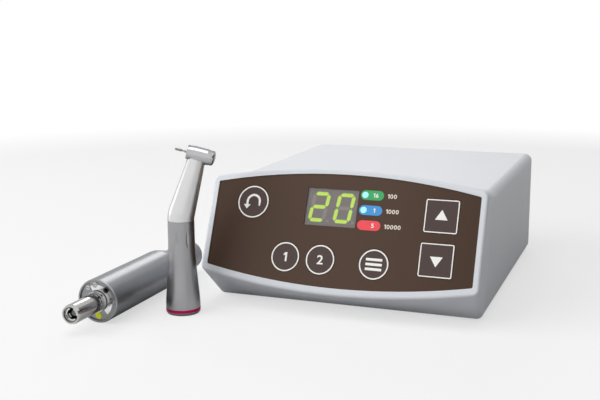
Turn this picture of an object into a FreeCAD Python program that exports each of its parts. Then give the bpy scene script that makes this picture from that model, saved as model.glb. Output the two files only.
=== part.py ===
import FreeCAD, Part
import math
import os

# Dental micromotor set, in millimetres: a control unit, a motor handpiece lying beside it and a
# contra-angle standing in front. The set stands on Z = 0, X runs to the control unit's right and
# Y to its back. The origin is at the middle of the set's footprint.

# Control unit, case
console_width = 160.0
console_depth = 180.5
console_height = 67.4
foot_height = 1.2
wall = 2.5
lip = 5.0
top_edge_radius = 5.0
bottom_edge_radius = 4.0
seam_gap = 0.2
fit_gap = 0.15

# Tilted front frame. Heights on the panel run up from the level of its upper corners.
panel_tilt = 23.5
panel_corner_rise = 1.2
panel_corner_y = 0.3
frame_depth = 28.3
rim_overhang = 1.3
rim_top = 11.2
rim_height = 72.2
rim_bow = 8.3
rim_corner_radius = 4.0
rim_round = 1.6
rim_side = 3.8
rim_over = 3.1
rim_under = 4.1
panel_bow_top = 8.1
panel_bow_low = 7.5
panel_corner_radius = 1.0
panel_recess = 0.6
panel_thickness = 2.0
plate_thickness = 2.0
panel_gap = 0.1
tongue_width = 14.0
tongue_reach = 5.0
tongue_thickness = 1.6
tongue_across = 45.0

# Keys on the panel: across, up. The outer ones keep their distance from the case's sides.
reverse_key_inset = 25.7
speed_up_inset = 23.2
speed_down_inset = 23.6
reverse_key_at = (reverse_key_inset - console_width / 2, -11.1)
reverse_key_radius = 9.6
memory_1_at = (-29.9, -41.5)
memory_2_at = (-9.0, -41.5)
select_key_at = (22.2, -41.5)
small_key_radius = 8.5
speed_up_at = (console_width / 2 - speed_up_inset, -12.0)
speed_down_at = (console_width / 2 - speed_down_inset, -36.4)
square_key_side = 18.8
square_key_radius = 1.0
key_gap = 0.25
key_proud = 0.15
key_flange = 0.9
key_flange_thickness = 0.8
key_stem_radius = 2.0
key_stem_length = 1.4
key_travel = 0.5
key_rest_gap = 0.3
switch_stem_radius = 1.7
switch_stem_height = 1.2
switch_side = 6.0
switch_body_height = 3.5

# Display and ratio lenses
display_at = (-6.5, -11.2)
display_width = 30.4
display_height = 21.8
display_corner_radius = 0.4
window_thickness = 0.8
insert_gap = 0.05
digit_height = 17.4
digit_width = 10.4
digit_pitch = 14.8
digit_slant = 7.0
bar_width = 2.1
bar_gap = 0.5
bar_depth = 0.5
point_radius = 0.8
lens_across = 16.6
lens_rows = (-2.8, -11.4, -20.0)
lens_length = 13.5
lens_height = 5.6
lamp_radius = 1.5
lamp_gap = 0.3
lamp_inset = 2.3

# Key board behind the panel
key_board_thickness = 1.6
key_board_inset = 14.0
key_board_top = 2.0
key_board_bottom = -50.5
key_post_inset = 10.0
key_post_rows = (-38.0, -5.0, -8.0, -42.5)
key_post_radius = 3.0
key_screw_radius = 1.0
key_screw_head = 2.0
key_screw_head_height = 1.4

# Base, feet and case screws
base_thickness = 2.5
base_lift = 0.3
foot_radius = 7.0
foot_recess = 0.7
foot_side_inset = 18.0
foot_front = 20.0
foot_rear_inset = 18.5
boss_radius = 4.0
boss_side_inset = 9.0
boss_front = 42.0
boss_rear_inset = 12.5
case_screw_radius = 1.5
case_screw_head = 2.8
case_screw_head_height = 1.6
case_screw_length = 12.0
slot_width = 0.6

# Main board and what it carries
board_side_gap = 19.0
board_front = 48.0
board_rear_gap = 27.3
board_thickness = 1.6
pillar_height = 6.0
pillar_radius = 3.2
pillar_inset = 5.0
board_screw_radius = 1.25
board_screw_head = 2.3
board_screw_head_height = 1.6
capacitor_radius = 5.0
capacitor_height = 18.0
capacitor_edge = 0.8
capacitor_inset = 11.0
capacitor_pitch = 13.0
capacitor_count = 3
part_row_inset = 32.0
sink_left = -8.0
sink_width = 56.0
sink_height = 26.0
sink_back = 3.0
fin_depth = 12.0
fin_thickness = 1.2
fin_count = 9
transistor_width = 10.0
transistor_height = 15.0
transistor_depth = 4.5
transistor_lift = 2.5
leg_width = 0.8
leg_pitch = 2.5
transistor_count = 4
chips = ((-30.0, 84.0, 14.0, 14.0), (8.0, 92.0, 11.0, 7.0), (34.0, 74.0, 9.0, 9.0))
chip_height = 1.8
header_height = 8.0
header_depth = 6.0
header_row = 54.0
header_inset = 20.0
header_width = 12.0
cable_header_width = 25.0
cable_across = 2.0
cable_width = 20.0
cable_thickness = 0.8
cable_bend = 4.0
cable_plug_height = 3.0
cable_run = 24.0
cable_up = -30.0

# Rear panel and its connectors
rear_panel_thickness = 2.0
rear_panel_inset = 1.2
rear_border = 3.5
rear_row = 36.0
motor_socket_inset = 30.0
socket_radius = 9.0
socket_bore = 7.0
socket_floor_bore = 6.4
socket_length = 6.0
socket_flange_radius = 12.0
socket_flange = 2.0
socket_neck_radius = 9.5
contact_radius = 0.6
contact_circle = 3.6
contact_count = 5
contact_height = 1.2
hose_inlet_pitch = 32.0
inlet_radius = 6.0
inlet_length = 8.0
inlet_flange_radius = 9.0
inlet_hole_radii = (1.3, 0.9, 1.3, 0.9)
inlet_hole_circle = 3.2
inlet_hole_depth = 6.0
manifold_width = 58.0
manifold_depth = 20.0
manifold_height = 22.0
jack_pitch = 32.0
jack_radius = 4.0
jack_nut_radius = 6.0
jack_nut = 2.5
jack_proud = 1.0
jack_bore = 3.1
jack_pin = 1.0
jack_body_length = 14.0
jack_bore_depth = 9.0
switch_inset = 26.0
switch_flange_width = 26.0
switch_flange_height = 17.0
switch_flange = 1.6
switch_box_width = 21.6
switch_box_height = 13.0
switch_box_depth = 12.0
switch_wall = 1.0
rocker_rise = 3.2
rocker_dip = 1.7
rocker_gap = 0.6
rocker_side_gap = 0.3
rocker_taper = 0.8
rocker_pivot_depth = 3.5
rocker_root = 3.0
rocker_root_depth = 2.0
rocker_swing = 16.0
rocker_pin_radius = 1.0
pin_clearance = 0.05

# Motor handpiece. Its own axis points out of the nose, with zero at the barrel's front face.
motor_radius = 12.35
motor_length = 112.5
motor_gap = 12.6
motor_ahead = 34.6
tail_length = 44.5
tail_points = ((11.7, 40.0), (10.1, 34.0), (9.1, 28.5), (8.9, 16.0), (9.1, 3.5))
tail_end_radius = 7.8
tail_end_bulge = 0.2
motor_wall = 1.2
face_bevel = 0.5
face_recess = 1.0
flange_thickness = 4.0
nose_length = 26.0
nose_radius = 5.4
nose_tip_radius = 5.1
nose_tip_bevel = 1.4
nose_collar_radius = 5.9
nose_collar = 2.2
nose_root_radius = 4.9
nose_bore = 3.9
nose_mouth_radius = 4.3
nose_mouth = 1.6
groove_depth = 0.5
groove_width = 0.9
groove_places = (3.4, 5.2)
seal_recess = 0.05
dog_radius = 3.6
dog_hollow = 2.7
dog_length = 4.0
dog_recess = 1.2
dog_slot = 2.2
dog_slot_depth = 2.4
dog_angles = (90.0, 210.0, 330.0)
shaft_radius = 1.6
magnet_radius = 4.6
magnet_front = 22.0
magnet_length = 34.0
air_gap = 0.4
core_bore = 9.6
winding_overhang = 5.0
motor_bearing_radius = 5.0
motor_bearing_width = 3.0
bearing_boss = 1.6
rear_bearing_gap = 1.0
running_gap = 0.05
wire_hole_radius = 1.6
wire_hole_circle = 8.0
face_screw_radius = 0.9
face_screw_head = 1.5
face_screw_head_height = 1.0
face_screw_circle = 9.2
face_screw_angles = (130.0, 98.0, 5.0)
face_screw_slot = 0.4
port_circle = 8.5
port_radius = 1.1
port_seal_radius = 1.7
port_seal_depth = 0.5
port_seal_rise = 0.2
port_angles = (50.0, 200.0, 232.0)
motor_lamp_circle = 8.4
motor_lamp_angle = 270.0
motor_lamp_radius = 1.9
motor_lamp_depth = 2.6
motor_lamp_proud = 0.3
pad_height = 0.7
pad_inner = 6.3
pad_outer = 9.2
pad_angles = (-50.0, 6.0, 62.0, 118.0)
tail_bore = 6.2
tail_bore_depth = 6.0
insert_length = 7.0
insert_wall = 1.2
insert_well = 3.0
tail_pin_radius = 0.45
tail_pin_circle = 3.2
tail_pin_count = 5
tail_pin_height = 2.0

# Contra-angle. Its own axis stands up from the table, and its X points the way the neck leans.
contra_turn = 20.8
contra_aside = 2.6
contra_gap = 4.0
base_ring_height = 1.6
base_ring_radius = 9.7
base_ring_foot = 9.1
base_ring_edge = 0.9
colour_ring_height = 1.7
colour_ring_radius = 9.8
handle_foot_radius = 9.75
handle_points = ((9.3, 12.0), (8.05, 27.0), (7.55, 41.0))
handle_top_radius = 7.5
handle_top = 53.3
collar_bore = 6.6
handle_bore = 6.5
waist_bore = 6.3
shell_joint = 0.15
bend_rise = 2.6
neck_tilt = 16.9
neck_length = 33.6
neck_top_radius = 4.9
neck_wall = 1.0
dimple_height = 43.5
dimple_length = 16.0
dimple_depth = 0.4
dimple_radius = 1.3
dimple_angles = (-106.0, -57.5)
light_height = 31.0
light_radius = 0.95
light_depth = 0.9
light_proud = 0.15

# Contra-angle, drive
sleeve_start = 2.4
guide_end = 22.5
guide_relief = 0.5
nose_end_gap = 0.5
nose_clearance = 0.05
claw_radius = 3.3
claw_hub = 2.0
claw_width = 1.8
claw_gap = 0.3
sleeve_lid_gap = 0.4
input_shaft_radius = 2.0
input_bearing_width = 2.4
end_gap = 0.3
cup_floor = 1.0
cup_radius = 5.2
cup_depth = 3.0
ring_teeth = 40
pinion_teeth = 16
gear_module = 0.22
# Teeth: reach inside and outside the pitch circle, then shares of the pitch at either end
cup_gap_shape = (0.2, 0.28, 0.72, 0.5)
pinion_tooth_shape = (0.28, 0.18, 0.56, 0.26)
spindle_tooth_shape = (0.3, 0.14, 0.6, 0.24)
tooth_end_gap = 0.02
middle_shaft_radius = 1.1
middle_bearing_radius = 2.8
middle_bearing_width = 2.4
carrier_lip = 0.4
elbow_carrier_rise = 1.0
shaft_room = 0.5
face_teeth = 16
face_inner = 1.5
face_outer = 2.6
face_tooth_width = 0.24
face_tooth_height = 0.3
face_root = 0.4
face_blank = 1.2
tooth_sink = 0.2
neck_shaft_radius = 1.0
neck_bearing_radius = 2.6
neck_bearing_width = 2.2
neck_bearing_rise = 2.4
neck_bearing_drop = 4.8
sleeve_ends = 0.4
crown_teeth = 24
spindle_teeth = 12
head_module = 0.25
crown_inner = 2.6
crown_outer = 3.45
crown_tooth_width = 0.24
crown_tooth_height = 0.05
crown_root = 0.35
crown_blank = 1.1
crown_room = 0.1

# Head of the contra-angle. Its own axis points along the bur, from the middle of the head.
head_tilt = 15.0
head_height = 36.1
head_front = 6.2
head_front_radius = 3.85
head_full = 1.2
head_back = 7.6
head_back_radius = 4.7
head_end_radius = 4.35
head_end_taper = 2.4
head_bore = 3.6
head_front_wall = 0.9
head_mouth = 1.7
head_bearing_width = 1.3
head_bearing_front = 5.3
head_bearing_back = 5.4
spindle_radius = 1.1
spindle_front = 5.8
spindle_back = 5.6
chuck_gap = 0.03
pinion_face = 1.1
cap_joint = 0.05
cap_thickness = 1.7
cap_round = 1.6
cap_bore = 3.2
button_gap = 0.1
button_dome = 0.5
button_flange_radius = 3.5
button_flange = 0.5
button_travel = 0.5
spring_outer = 3.3
spring_inner = 1.9
spring_thickness = 0.25
bur_radius = 0.8
bur_tail = 5.4
bur_reach = 13.1
bur_shoulder = 7.2
bur_neck_radius = 0.5
bur_neck_taper = 0.8
bur_head_radius = 0.72
bur_head_length = 4.2
bur_head_taper = 0.5


# Helpers

def V(x, y, z):
    return FreeCAD.Vector(x, y, z)


def box(x0, x1, y0, y1, z0, z1):
    return Part.makeBox(x1 - x0, y1 - y0, z1 - z0, V(x0, y0, z0))


def rod(radius, z0, z1, x=0.0, y=0.0):
    return Part.makeCylinder(radius, z1 - z0, V(x, y, z0))


def tube(outer, inner, z0, z1, x=0.0, y=0.0):
    return rod(outer, z0, z1, x, y).cut(rod(inner, z0, z1, x, y))


def turned(points):
    """Solid turned about Z from the (radius, height) points of its half section."""
    corners = [V(radius, 0, height) for radius, height in points]
    return Part.Face(Part.makePolygon(corners + corners[:1])).revolve(V(0, 0, 0), V(0, 0, 1), 360)


def spindle(radius, low, high):
    """Solid on Z that swells from a point to its radius and back to a point."""
    ends = V(0, 0, low), V(0, 0, high)
    swell = Part.Arc(ends[0], V(radius, 0, (low + high) / 2), ends[1])
    section = Part.Face(Part.Wire([swell.toShape(), Part.LineSegment(ends[1], ends[0]).toShape()]))
    return section.revolve(V(0, 0, 0), V(0, 0, 1), 360)


def prism(points, z0, z1):
    """Prism on the closed outline of the (x, y) points."""
    corners = [V(x, y, z0) for x, y in points]
    return Part.Face(Part.makePolygon(corners + corners[:1])).extrude(V(0, 0, z1 - z0))


def on_circle(radius, degrees, across=0.0, up=0.0):
    angle = math.radians(degrees)
    return across + radius * math.cos(angle), up + radius * math.sin(angle)


def ring_of(radius, count, across=0.0, up=0.0):
    """Places spaced evenly round a circle, the first at its top."""
    return [on_circle(radius, 90.0 + 360.0 * index / count, across, up) for index in range(count)]


def placed(shape, origin, z_axis, x_axis):
    """Copy of the shape, taken from its own frame to the given origin and directions."""
    turn = FreeCAD.Rotation(x_axis, V(0, 0, 0), z_axis, "ZXY")
    copy = shape.copy()
    copy.Placement = FreeCAD.Placement(origin, turn).multiply(shape.Placement)
    return copy


def fused(shapes):
    return shapes[0].multiFuse(shapes[1:]).removeSplitter()


def cut_all(shape, tools):
    return shape.cut(Part.makeCompound(tools))


def screw(head_radius, head_height, radius, length, slots=1, width=slot_width):
    """Screw that points up, with the underside of its head at zero."""
    head = rod(head_radius, -head_height, 0.0)
    for index in range(slots):
        slot = box(-head_radius, head_radius, -width / 2, width / 2, -head_height, -head_height / 2)
        slot.rotate(V(0, 0, 0), V(0, 0, 1), 90.0 * index)
        head = head.cut(slot)
    return head.fuse(rod(radius, 0.0, length)).removeSplitter()


def moved(shape, x, y, z):
    copy = shape.copy()
    copy.translate(V(x, y, z))
    return copy


def flipped(shape):
    """Copy turned upside down about the X axis."""
    copy = shape.copy()
    copy.rotate(V(0, 0, 0), V(1, 0, 0), 180)
    return copy


def corner_arc(half, level, bow, radius, side):
    """Start, middle and end of the right-hand corner's arc; side is 1 at the top and -1 below."""
    if bow > 0:
        arc = (half ** 2 + bow ** 2) / (2 * bow)
        inner = arc - radius
        rise = math.sqrt(inner ** 2 - (half - radius) ** 2)
        corner_y = level - side * (arc - rise)
        end = V((half - radius) * arc / inner, level - side * (arc - rise * arc / inner), 0)
    else:
        corner_y = level - side * radius
        end = V(half - radius, level, 0)
    centre = V(half - radius, corner_y, 0)
    start = V(half, corner_y, 0)
    outward = start.add(end).multiply(0.5).sub(centre).normalize()
    return [start, centre.add(outward.multiply(radius)), end]


def bowed_outline(half, top, bottom, bows, radii, z):
    """Closed wire with straight sides, bowed top and bottom edges and rounded corners."""
    edges = []
    ends = []
    for side, level, bow, radius in ((1, top, bows[0], radii[0]), (-1, bottom, bows[1], radii[1])):
        right = corner_arc(half, level, bow, radius, side)
        left = [V(-point.x, point.y, 0) for point in right]
        first, last = (right, left) if side > 0 else (left, right)
        edges.append(Part.Arc(*first))
        if bow > 0:
            edges.append(Part.Arc(first[2], V(0, level, 0), last[2]))
        else:
            edges.append(Part.LineSegment(first[2], last[2]))
        edges.append(Part.Arc(*reversed(last)))
        ends += [first[0], last[0]]
    edges.insert(3, Part.LineSegment(ends[1], ends[2]))
    edges.append(Part.LineSegment(ends[3], ends[0]))
    wire = Part.Wire([edge.toShape() for edge in edges])
    wire.translate(V(0, 0, z))
    return wire


def plate(wire, thickness):
    return Part.Face(wire).extrude(V(0, 0, thickness))


def rounded_block(width, height, radius, z0, z1, at):
    wire = bowed_outline(width / 2, height / 2, -height / 2, (0.0, 0.0), (radius, radius), z0)
    return moved(plate(wire, z1 - z0), at[0], at[1], 0)


def pill(length, height, z0, z1, at):
    """Block with round ends."""
    reach = (length - height) / 2
    middle = box(-reach, reach, -height / 2, height / 2, z0, z1)
    ends = [rod(height / 2, z0, z1, -reach), rod(height / 2, z0, z1, reach)]
    return moved(fused([middle] + ends), at[0], at[1], 0)


def flat_path(points, radius):
    """Wire of straight runs joined by tangent arcs."""
    edges = []
    start = points[0]
    for before, corner, after in zip(points, points[1:], points[2:]):
        back = before.sub(corner).normalize()
        ahead = after.sub(corner).normalize()
        half = back.getAngle(ahead) / 2
        first = corner.add(back * (radius / math.tan(half)))
        last = corner.add(ahead * (radius / math.tan(half)))
        middle = corner.add(back.add(ahead).normalize() * (radius / math.sin(half) - radius))
        edges += [Part.LineSegment(start, first), Part.Arc(first, middle, last)]
        start = last
    edges.append(Part.LineSegment(start, points[-1]))
    return Part.Wire([edge.toShape() for edge in edges])


# Places worked out from the sizes

half_width = console_width / 2
console_top = foot_height + console_height
base_low = foot_height + base_lift
base_top = base_low + base_thickness
rear_face = console_depth - rear_panel_inset
rear_inner = rear_face - rear_panel_thickness
rear_lip = rear_inner - wall
base_half = half_width - lip - fit_gap
foot_places = [(side * (half_width - foot_side_inset), y) for side in (-1, 1)
               for y in (foot_front, console_depth - foot_rear_inset)]
boss_places = [(side * (half_width - boss_side_inset), y) for side in (-1, 1)
               for y in (boss_front, console_depth - boss_rear_inset)]
case_screw_seat = base_low + fit_gap + case_screw_head_height

tilt = math.radians(panel_tilt)
panel_out = V(0, -math.cos(tilt), math.sin(tilt))
panel_origin = V(0, panel_corner_y, console_top + panel_corner_rise)
seam_level = panel_origin.z - frame_depth * math.sin(tilt)
seam_top = (console_top - seam_level) / math.cos(tilt)
seam_low = (foot_height - seam_level) / math.cos(tilt)
rim_half = half_width + rim_overhang
rim_low = rim_top - rim_height
panel_half = rim_half - rim_side
panel_top = rim_top - rim_over
panel_low = rim_low + rim_under
panel_face = -panel_recess
panel_back = panel_face - panel_thickness
plate_back = panel_back - plate_thickness
key_face = panel_face + key_proud
key_stop = plate_back - fit_gap
stem_end = key_stop - key_flange_thickness - key_stem_length
switch_top = stem_end - key_travel - key_rest_gap
switch_base = switch_top - switch_stem_height
board_face = switch_base - switch_body_height
board_rear = board_face - key_board_thickness
display_face = panel_face - window_thickness

key_outlines = {
    "reverse_key": (reverse_key_radius, reverse_key_at),
    "memory_key_1": (small_key_radius, memory_1_at),
    "memory_key_2": (small_key_radius, memory_2_at),
    "select_key": (small_key_radius, select_key_at),
    "speed_up_key": ((square_key_side, square_key_radius), speed_up_at),
    "speed_down_key": ((square_key_side, square_key_radius), speed_down_at)}
lens_places = [(lens_across, row) for row in lens_rows]
key_board_half = half_width - key_board_inset
key_post_columns = (
    key_post_inset - key_board_half,
    (reverse_key_at[0] + reverse_key_radius + display_at[0] - display_width / 2) / 2,
    (lens_across + lens_length / 2 + speed_up_at[0] - square_key_side / 2) / 2,
    (select_key_at[0] + small_key_radius + speed_down_at[0] - square_key_side / 2) / 2)
key_post_places = list(zip(key_post_columns, key_post_rows))

board_half = half_width - board_side_gap
board_back = rear_inner - board_rear_gap
board_low = base_top + pillar_height
board_top = board_low + board_thickness
pillar_places = [(side * (board_half - pillar_inset), y) for side in (-1, 1)
                 for y in (board_front + pillar_inset, board_back - pillar_inset)]
header_blocks = ((header_inset - board_half, header_width), (cable_across, cable_header_width),
                 (board_half - header_inset, header_width))
sink_front = board_back - part_row_inset
motor_socket_across = half_width - motor_socket_inset
hose_inlet_across = motor_socket_across - hose_inlet_pitch
switch_across = switch_inset - half_width
jack_across = switch_across + jack_pitch
socket_end = rear_face + socket_flange + socket_length
inlet_end = rear_face + socket_flange + inlet_length

contra_origin = V(-rim_half - contra_aside,
                  panel_origin.y + rim_low * math.sin(tilt) - contra_gap - handle_foot_radius, 0)
motor_origin = V(contra_origin.x - handle_foot_radius - motor_gap - motor_radius,
                 contra_origin.y - motor_ahead, motor_radius)
straight = motor_length - tail_length
insert_front = motor_length - tail_bore_depth - insert_length
flange_low = -face_recess - flange_thickness
dog_top = nose_length - dog_recess
dog_foot = dog_top - dog_length
magnet_back = magnet_front + magnet_length
front_bearing = flange_low - motor_bearing_width
rear_bearing = -magnet_back - winding_overhang - rear_bearing_gap - motor_bearing_width

contra_x = V(math.cos(math.radians(contra_turn)), math.sin(math.radians(contra_turn)), 0)
lean = math.radians(neck_tilt)
slope = math.radians(head_tilt)
neck_axis = V(math.sin(lean), 0, math.cos(lean))
head_axis = V(-math.cos(slope), 0, math.sin(slope))
bend_height = handle_top + bend_rise
shell_start = handle_top + shell_joint
elbow_radius = (bend_height - shell_start) / math.tan(lean / 2)
elbow_end = bend_height - shell_start
socket_depth = nose_length + nose_end_gap
claw_low = dog_top - dog_slot_depth + claw_gap
input_bearing_low = socket_depth + claw_gap + end_gap
cup_low = input_bearing_low + input_bearing_width + end_gap
cup_top = cup_low + cup_floor + cup_depth
pinion_low = cup_low + cup_floor + end_gap
carrier_low = cup_top + end_gap
gear_offset = gear_module * (ring_teeth - pinion_teeth) / 2
face_point = bend_height + gear_offset / math.tan(lean)
neck_start = gear_offset / math.sin(lean)
neck_bearing_low = neck_start + face_blank + neck_bearing_rise
spindle_pitch = head_module * spindle_teeth / 2
crown_pitch = head_module * crown_teeth / 2
crown_plane = head_height - spindle_pitch - crown_pitch * head_axis.dot(neck_axis)
neck_bearing_high = crown_plane - neck_bearing_drop

set_centre = V((motor_origin.x - motor_radius + rim_half) / 2,
               (motor_origin.y - nose_length + max(socket_end, inlet_end)) / 2, 0)


def on_panel(shape):
    return placed(shape, panel_origin, panel_out, V(1, 0, 0))


def on_motor(shape):
    return placed(shape, motor_origin, V(0, -1, 0), V(1, 0, 0))


def on_contra(shape):
    return placed(shape, contra_origin, V(0, 0, 1), contra_x)


def on_neck(shape):
    """From the neck's own frame, with Z along the neck, to the contra-angle's."""
    return placed(shape, V(0, 0, bend_height), neck_axis, V(math.cos(lean), 0, -math.sin(lean)))


def on_head(shape):
    """From the head's own frame, with Z along the bur, to the contra-angle's."""
    middle = V(0, 0, bend_height).add(neck_axis * head_height)
    return placed(shape, middle, head_axis, V(math.sin(slope), 0, math.cos(slope)))


def front_room(depth):
    """Block that fills the space in front of a plane parallel to the panel."""
    reach = 2 * console_width
    return on_panel(box(-reach, reach, -reach, reach, -depth, reach))


def panel_openings(grow, z0, z1):
    """Tools for the openings of the keys, the display and the lenses."""
    tools = [key_block(outline, z0, z1, grow, at) for outline, at in key_outlines.values()]
    tools.append(rounded_block(display_width, display_height, display_corner_radius, z0, z1, display_at))
    tools += [pill(lens_length, lens_height, z0, z1, at) for at in lens_places]
    return tools


def key_block(outline, z0, z1, grow, at):
    """Prism on a key's outline, grown by the given amount: a radius, or a side and its corner radius."""
    if isinstance(outline, tuple):
        side, radius = outline
        return rounded_block(side + 2 * grow, side + 2 * grow, radius + grow, z0, z1, at)
    return rod(outline + grow, z0, z1, at[0], at[1])


# Case of the control unit

def frame_form(inset, front, rear):
    """Loft of the front frame, moved in by the inset, between two depths."""
    corner = rim_corner_radius - inset
    seam_radii = (top_edge_radius - inset, bottom_edge_radius - inset)
    back = bowed_outline(half_width - inset, seam_top - inset, seam_low + inset, (0.0, 0.0), seam_radii, rear)
    face = bowed_outline(rim_half - inset, rim_top - inset, rim_low + inset, (rim_bow, rim_bow),
                         (corner, corner), front)
    return Part.makeLoft([back, face], True, True)


def seam_y(z):
    """Where the seam plane crosses the given height."""
    return panel_origin.y + (frame_depth + math.sin(tilt) * (z - panel_origin.z)) / math.cos(tilt)


def frame_tongues(form):
    """Tongues that reach from the frame under the cover's top and over the base plate."""
    tongues = []
    high = console_top - wall - fit_gap
    low = base_top + fit_gap
    for side in (-1, 1):
        left = side * tongue_across - tongue_width / 2
        right = left + tongue_width
        for z0, root_low, root_high in ((high - tongue_thickness, high - tongue_thickness, 2 * console_top),
                                        (low, -console_top, low + tongue_thickness)):
            seam = seam_y(z0)
            root = box(left, right, seam - tongue_reach, seam + tongue_reach, root_low, root_high)
            tongues.append(root.common(form))
            tongues.append(box(left, right, seam - tongue_reach, seam + tongue_reach, z0, z0 + tongue_thickness))
    return tongues


def front_frame():
    form = frame_form(0.0, 0.0, seam_gap - frame_depth)
    rim_edges = [edge for edge in form.Edges if abs(edge.BoundBox.ZMin) < seam_gap]
    body = form.makeFillet(rim_round, rim_edges)
    body = body.cut(frame_form(wall, plate_back, -frame_depth))
    recess = bowed_outline(panel_half, panel_top, panel_low, (panel_bow_top, panel_bow_low),
                           (panel_corner_radius, panel_corner_radius), panel_back)
    body = body.cut(plate(recess, wall - panel_back))
    body = cut_all(body, panel_openings(key_gap, plate_back - wall, panel_back + wall))
    posts = [tube(key_post_radius, key_screw_radius, board_face, plate_back, x, y) for x, y in key_post_places]
    body = on_panel(fused([body] + posts))
    return fused([body] + frame_tongues(on_panel(form)))


def edges_near(shape, test):
    return [edge for edge in shape.Edges if test(edge.BoundBox)]


def rounded_case(inset, low, rear):
    """Case form with rounded upper, rear and lower side edges, moved in from its sides and top."""
    half = half_width - inset
    top = console_top - inset
    form = box(-half, half, -console_depth, rear, low, top)

    def is_side(bounds):
        return bounds.XLength < inset + seam_gap and abs(abs(bounds.XMin) - half) < seam_gap

    upper = edges_near(form, lambda b: b.ZMin > top - seam_gap and b.YMax > 0)
    upright = edges_near(form, lambda b: is_side(b) and b.YMin > rear - seam_gap)
    upright = [edge for edge in upright if edge.BoundBox.ZLength > wall]
    form = form.makeFillet(top_edge_radius - inset, upper + upright)
    lower = edges_near(form, lambda b: b.ZMax < low + seam_gap and b.YLength > console_depth / 2 and is_side(b))
    return form.makeFillet(bottom_edge_radius - inset, lower)


def top_cover():
    shell = rounded_case(0.0, foot_height, console_depth)
    shell = shell.cut(rounded_case(wall, foot_height + wall, rear_lip))
    window_half = half_width - wall - lip
    seat_half = half_width - rear_border
    shell = cut_all(shell, [
        box(-half_width + lip, half_width - lip, -console_depth, rear_lip, 0.0, foot_height + 2 * wall),
        box(-window_half, window_half, rear_lip - wall, console_depth + wall, 0.0, console_top - wall - lip),
        box(-seat_half, seat_half, rear_inner, console_depth + wall, 0.0, console_top - rear_border)])
    pieces = [shell]
    for x, y in boss_places:
        inner = math.copysign(half_width - wall, x)
        pieces.append(rod(boss_radius, base_top, console_top - wall, x, y))
        pieces.append(box(min(x, inner), max(x, inner), y - wall / 2, y + wall / 2, base_top, console_top - wall))
    shell = fused(pieces)
    shell = cut_all(shell, [rod(case_screw_radius, base_top - wall, case_screw_seat + case_screw_length, x, y)
                            for x, y in boss_places])
    return shell.cut(front_room(frame_depth))


def base_plate():
    window_half = half_width - wall - lip - fit_gap
    body = box(-base_half, base_half, -console_depth, rear_lip - fit_gap, base_low, base_top)
    body = body.cut(front_room(frame_depth + fit_gap))
    pillars = [rod(pillar_radius, base_low, board_low, x, y) for x, y in pillar_places]
    tail = box(-window_half, window_half, rear_lip - wall, rear_inner - fit_gap, base_low, base_top)
    body = fused([body, tail] + pillars)
    tools = [rod(foot_radius, 0.0, base_low + foot_recess, x, y) for x, y in foot_places]
    tools += [rod(board_screw_radius, base_top, board_low, x, y) for x, y in pillar_places]
    for x, y in boss_places:
        tools.append(rod(case_screw_radius + fit_gap, 0.0, board_low, x, y))
        tools.append(rod(case_screw_head + fit_gap, 0.0, case_screw_seat, x, y))
    return cut_all(body, tools)


def rubber_feet():
    return Part.makeCompound([rod(foot_radius, 0.0, base_low + foot_recess, x, y) for x, y in foot_places])


def housing_screws():
    one = screw(case_screw_head, case_screw_head_height, case_screw_radius, case_screw_length, slots=2)
    return Part.makeCompound([moved(one, x, y, case_screw_seat) for x, y in boss_places])


# Rear panel and connectors

def rear_rod(radius, y0, y1, across, height=rear_row):
    """Cylinder along Y, at home on the rear panel."""
    return Part.makeCylinder(radius, y1 - y0, V(across, y0, height), V(0, 1, 0))


def rear_block(across, width, height, y0, y1):
    return box(across - width / 2, across + width / 2, y0, y1, rear_row - height / 2, rear_row + height / 2)


def rear_panel():
    half = half_width - rear_border - fit_gap
    body = box(-half, half, rear_inner, rear_face, base_low, console_top - rear_border - fit_gap)
    holes = [rear_rod(radius, rear_inner, rear_face, across) for across, radius in
             ((motor_socket_across, socket_neck_radius), (hose_inlet_across, inlet_radius), (jack_across, jack_radius))]
    holes.append(rear_block(switch_across, switch_box_width, switch_box_height, rear_inner, rear_face))
    return cut_all(body, holes)


def motor_hose_socket():
    """Round socket and, as solids of their own, its contacts."""
    flange_end = rear_face + socket_flange
    body = fused([rear_rod(socket_flange_radius, rear_face, flange_end, motor_socket_across),
                  rear_rod(socket_radius, flange_end, socket_end, motor_socket_across),
                  rear_rod(socket_neck_radius, rear_inner, rear_face, motor_socket_across)])
    body = cut_all(body, [rear_rod(socket_floor_bore, rear_face, rear_face + contact_height, motor_socket_across),
                          rear_rod(socket_bore, rear_face + contact_height, socket_end, motor_socket_across)])
    contacts = [rear_rod(contact_radius, rear_inner, rear_face + contact_height, x, z)
                for x, z in ring_of(contact_circle, contact_count, motor_socket_across, rear_row)]
    return Part.makeCompound([cut_all(body, contacts)] + contacts)


def unit_hose_inlet():
    flange_end = rear_face + socket_flange
    body = fused([rear_rod(inlet_flange_radius, rear_face, flange_end, hose_inlet_across),
                  rear_rod(inlet_radius, rear_inner, inlet_end, hose_inlet_across)])
    places = ring_of(inlet_hole_circle, len(inlet_hole_radii), hose_inlet_across, rear_row)
    return cut_all(body, [rear_rod(radius, inlet_end - inlet_hole_depth, inlet_end, x, z)
                          for radius, (x, z) in zip(inlet_hole_radii, places)])


def air_water_manifold():
    middle = (motor_socket_across + hose_inlet_across) / 2
    block = rear_block(middle, manifold_width, manifold_height, rear_inner - manifold_depth, rear_inner)
    return block.makeFillet(wall, edges_near(block, lambda b: b.ZLength > wall and b.YMax < rear_inner))


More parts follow.
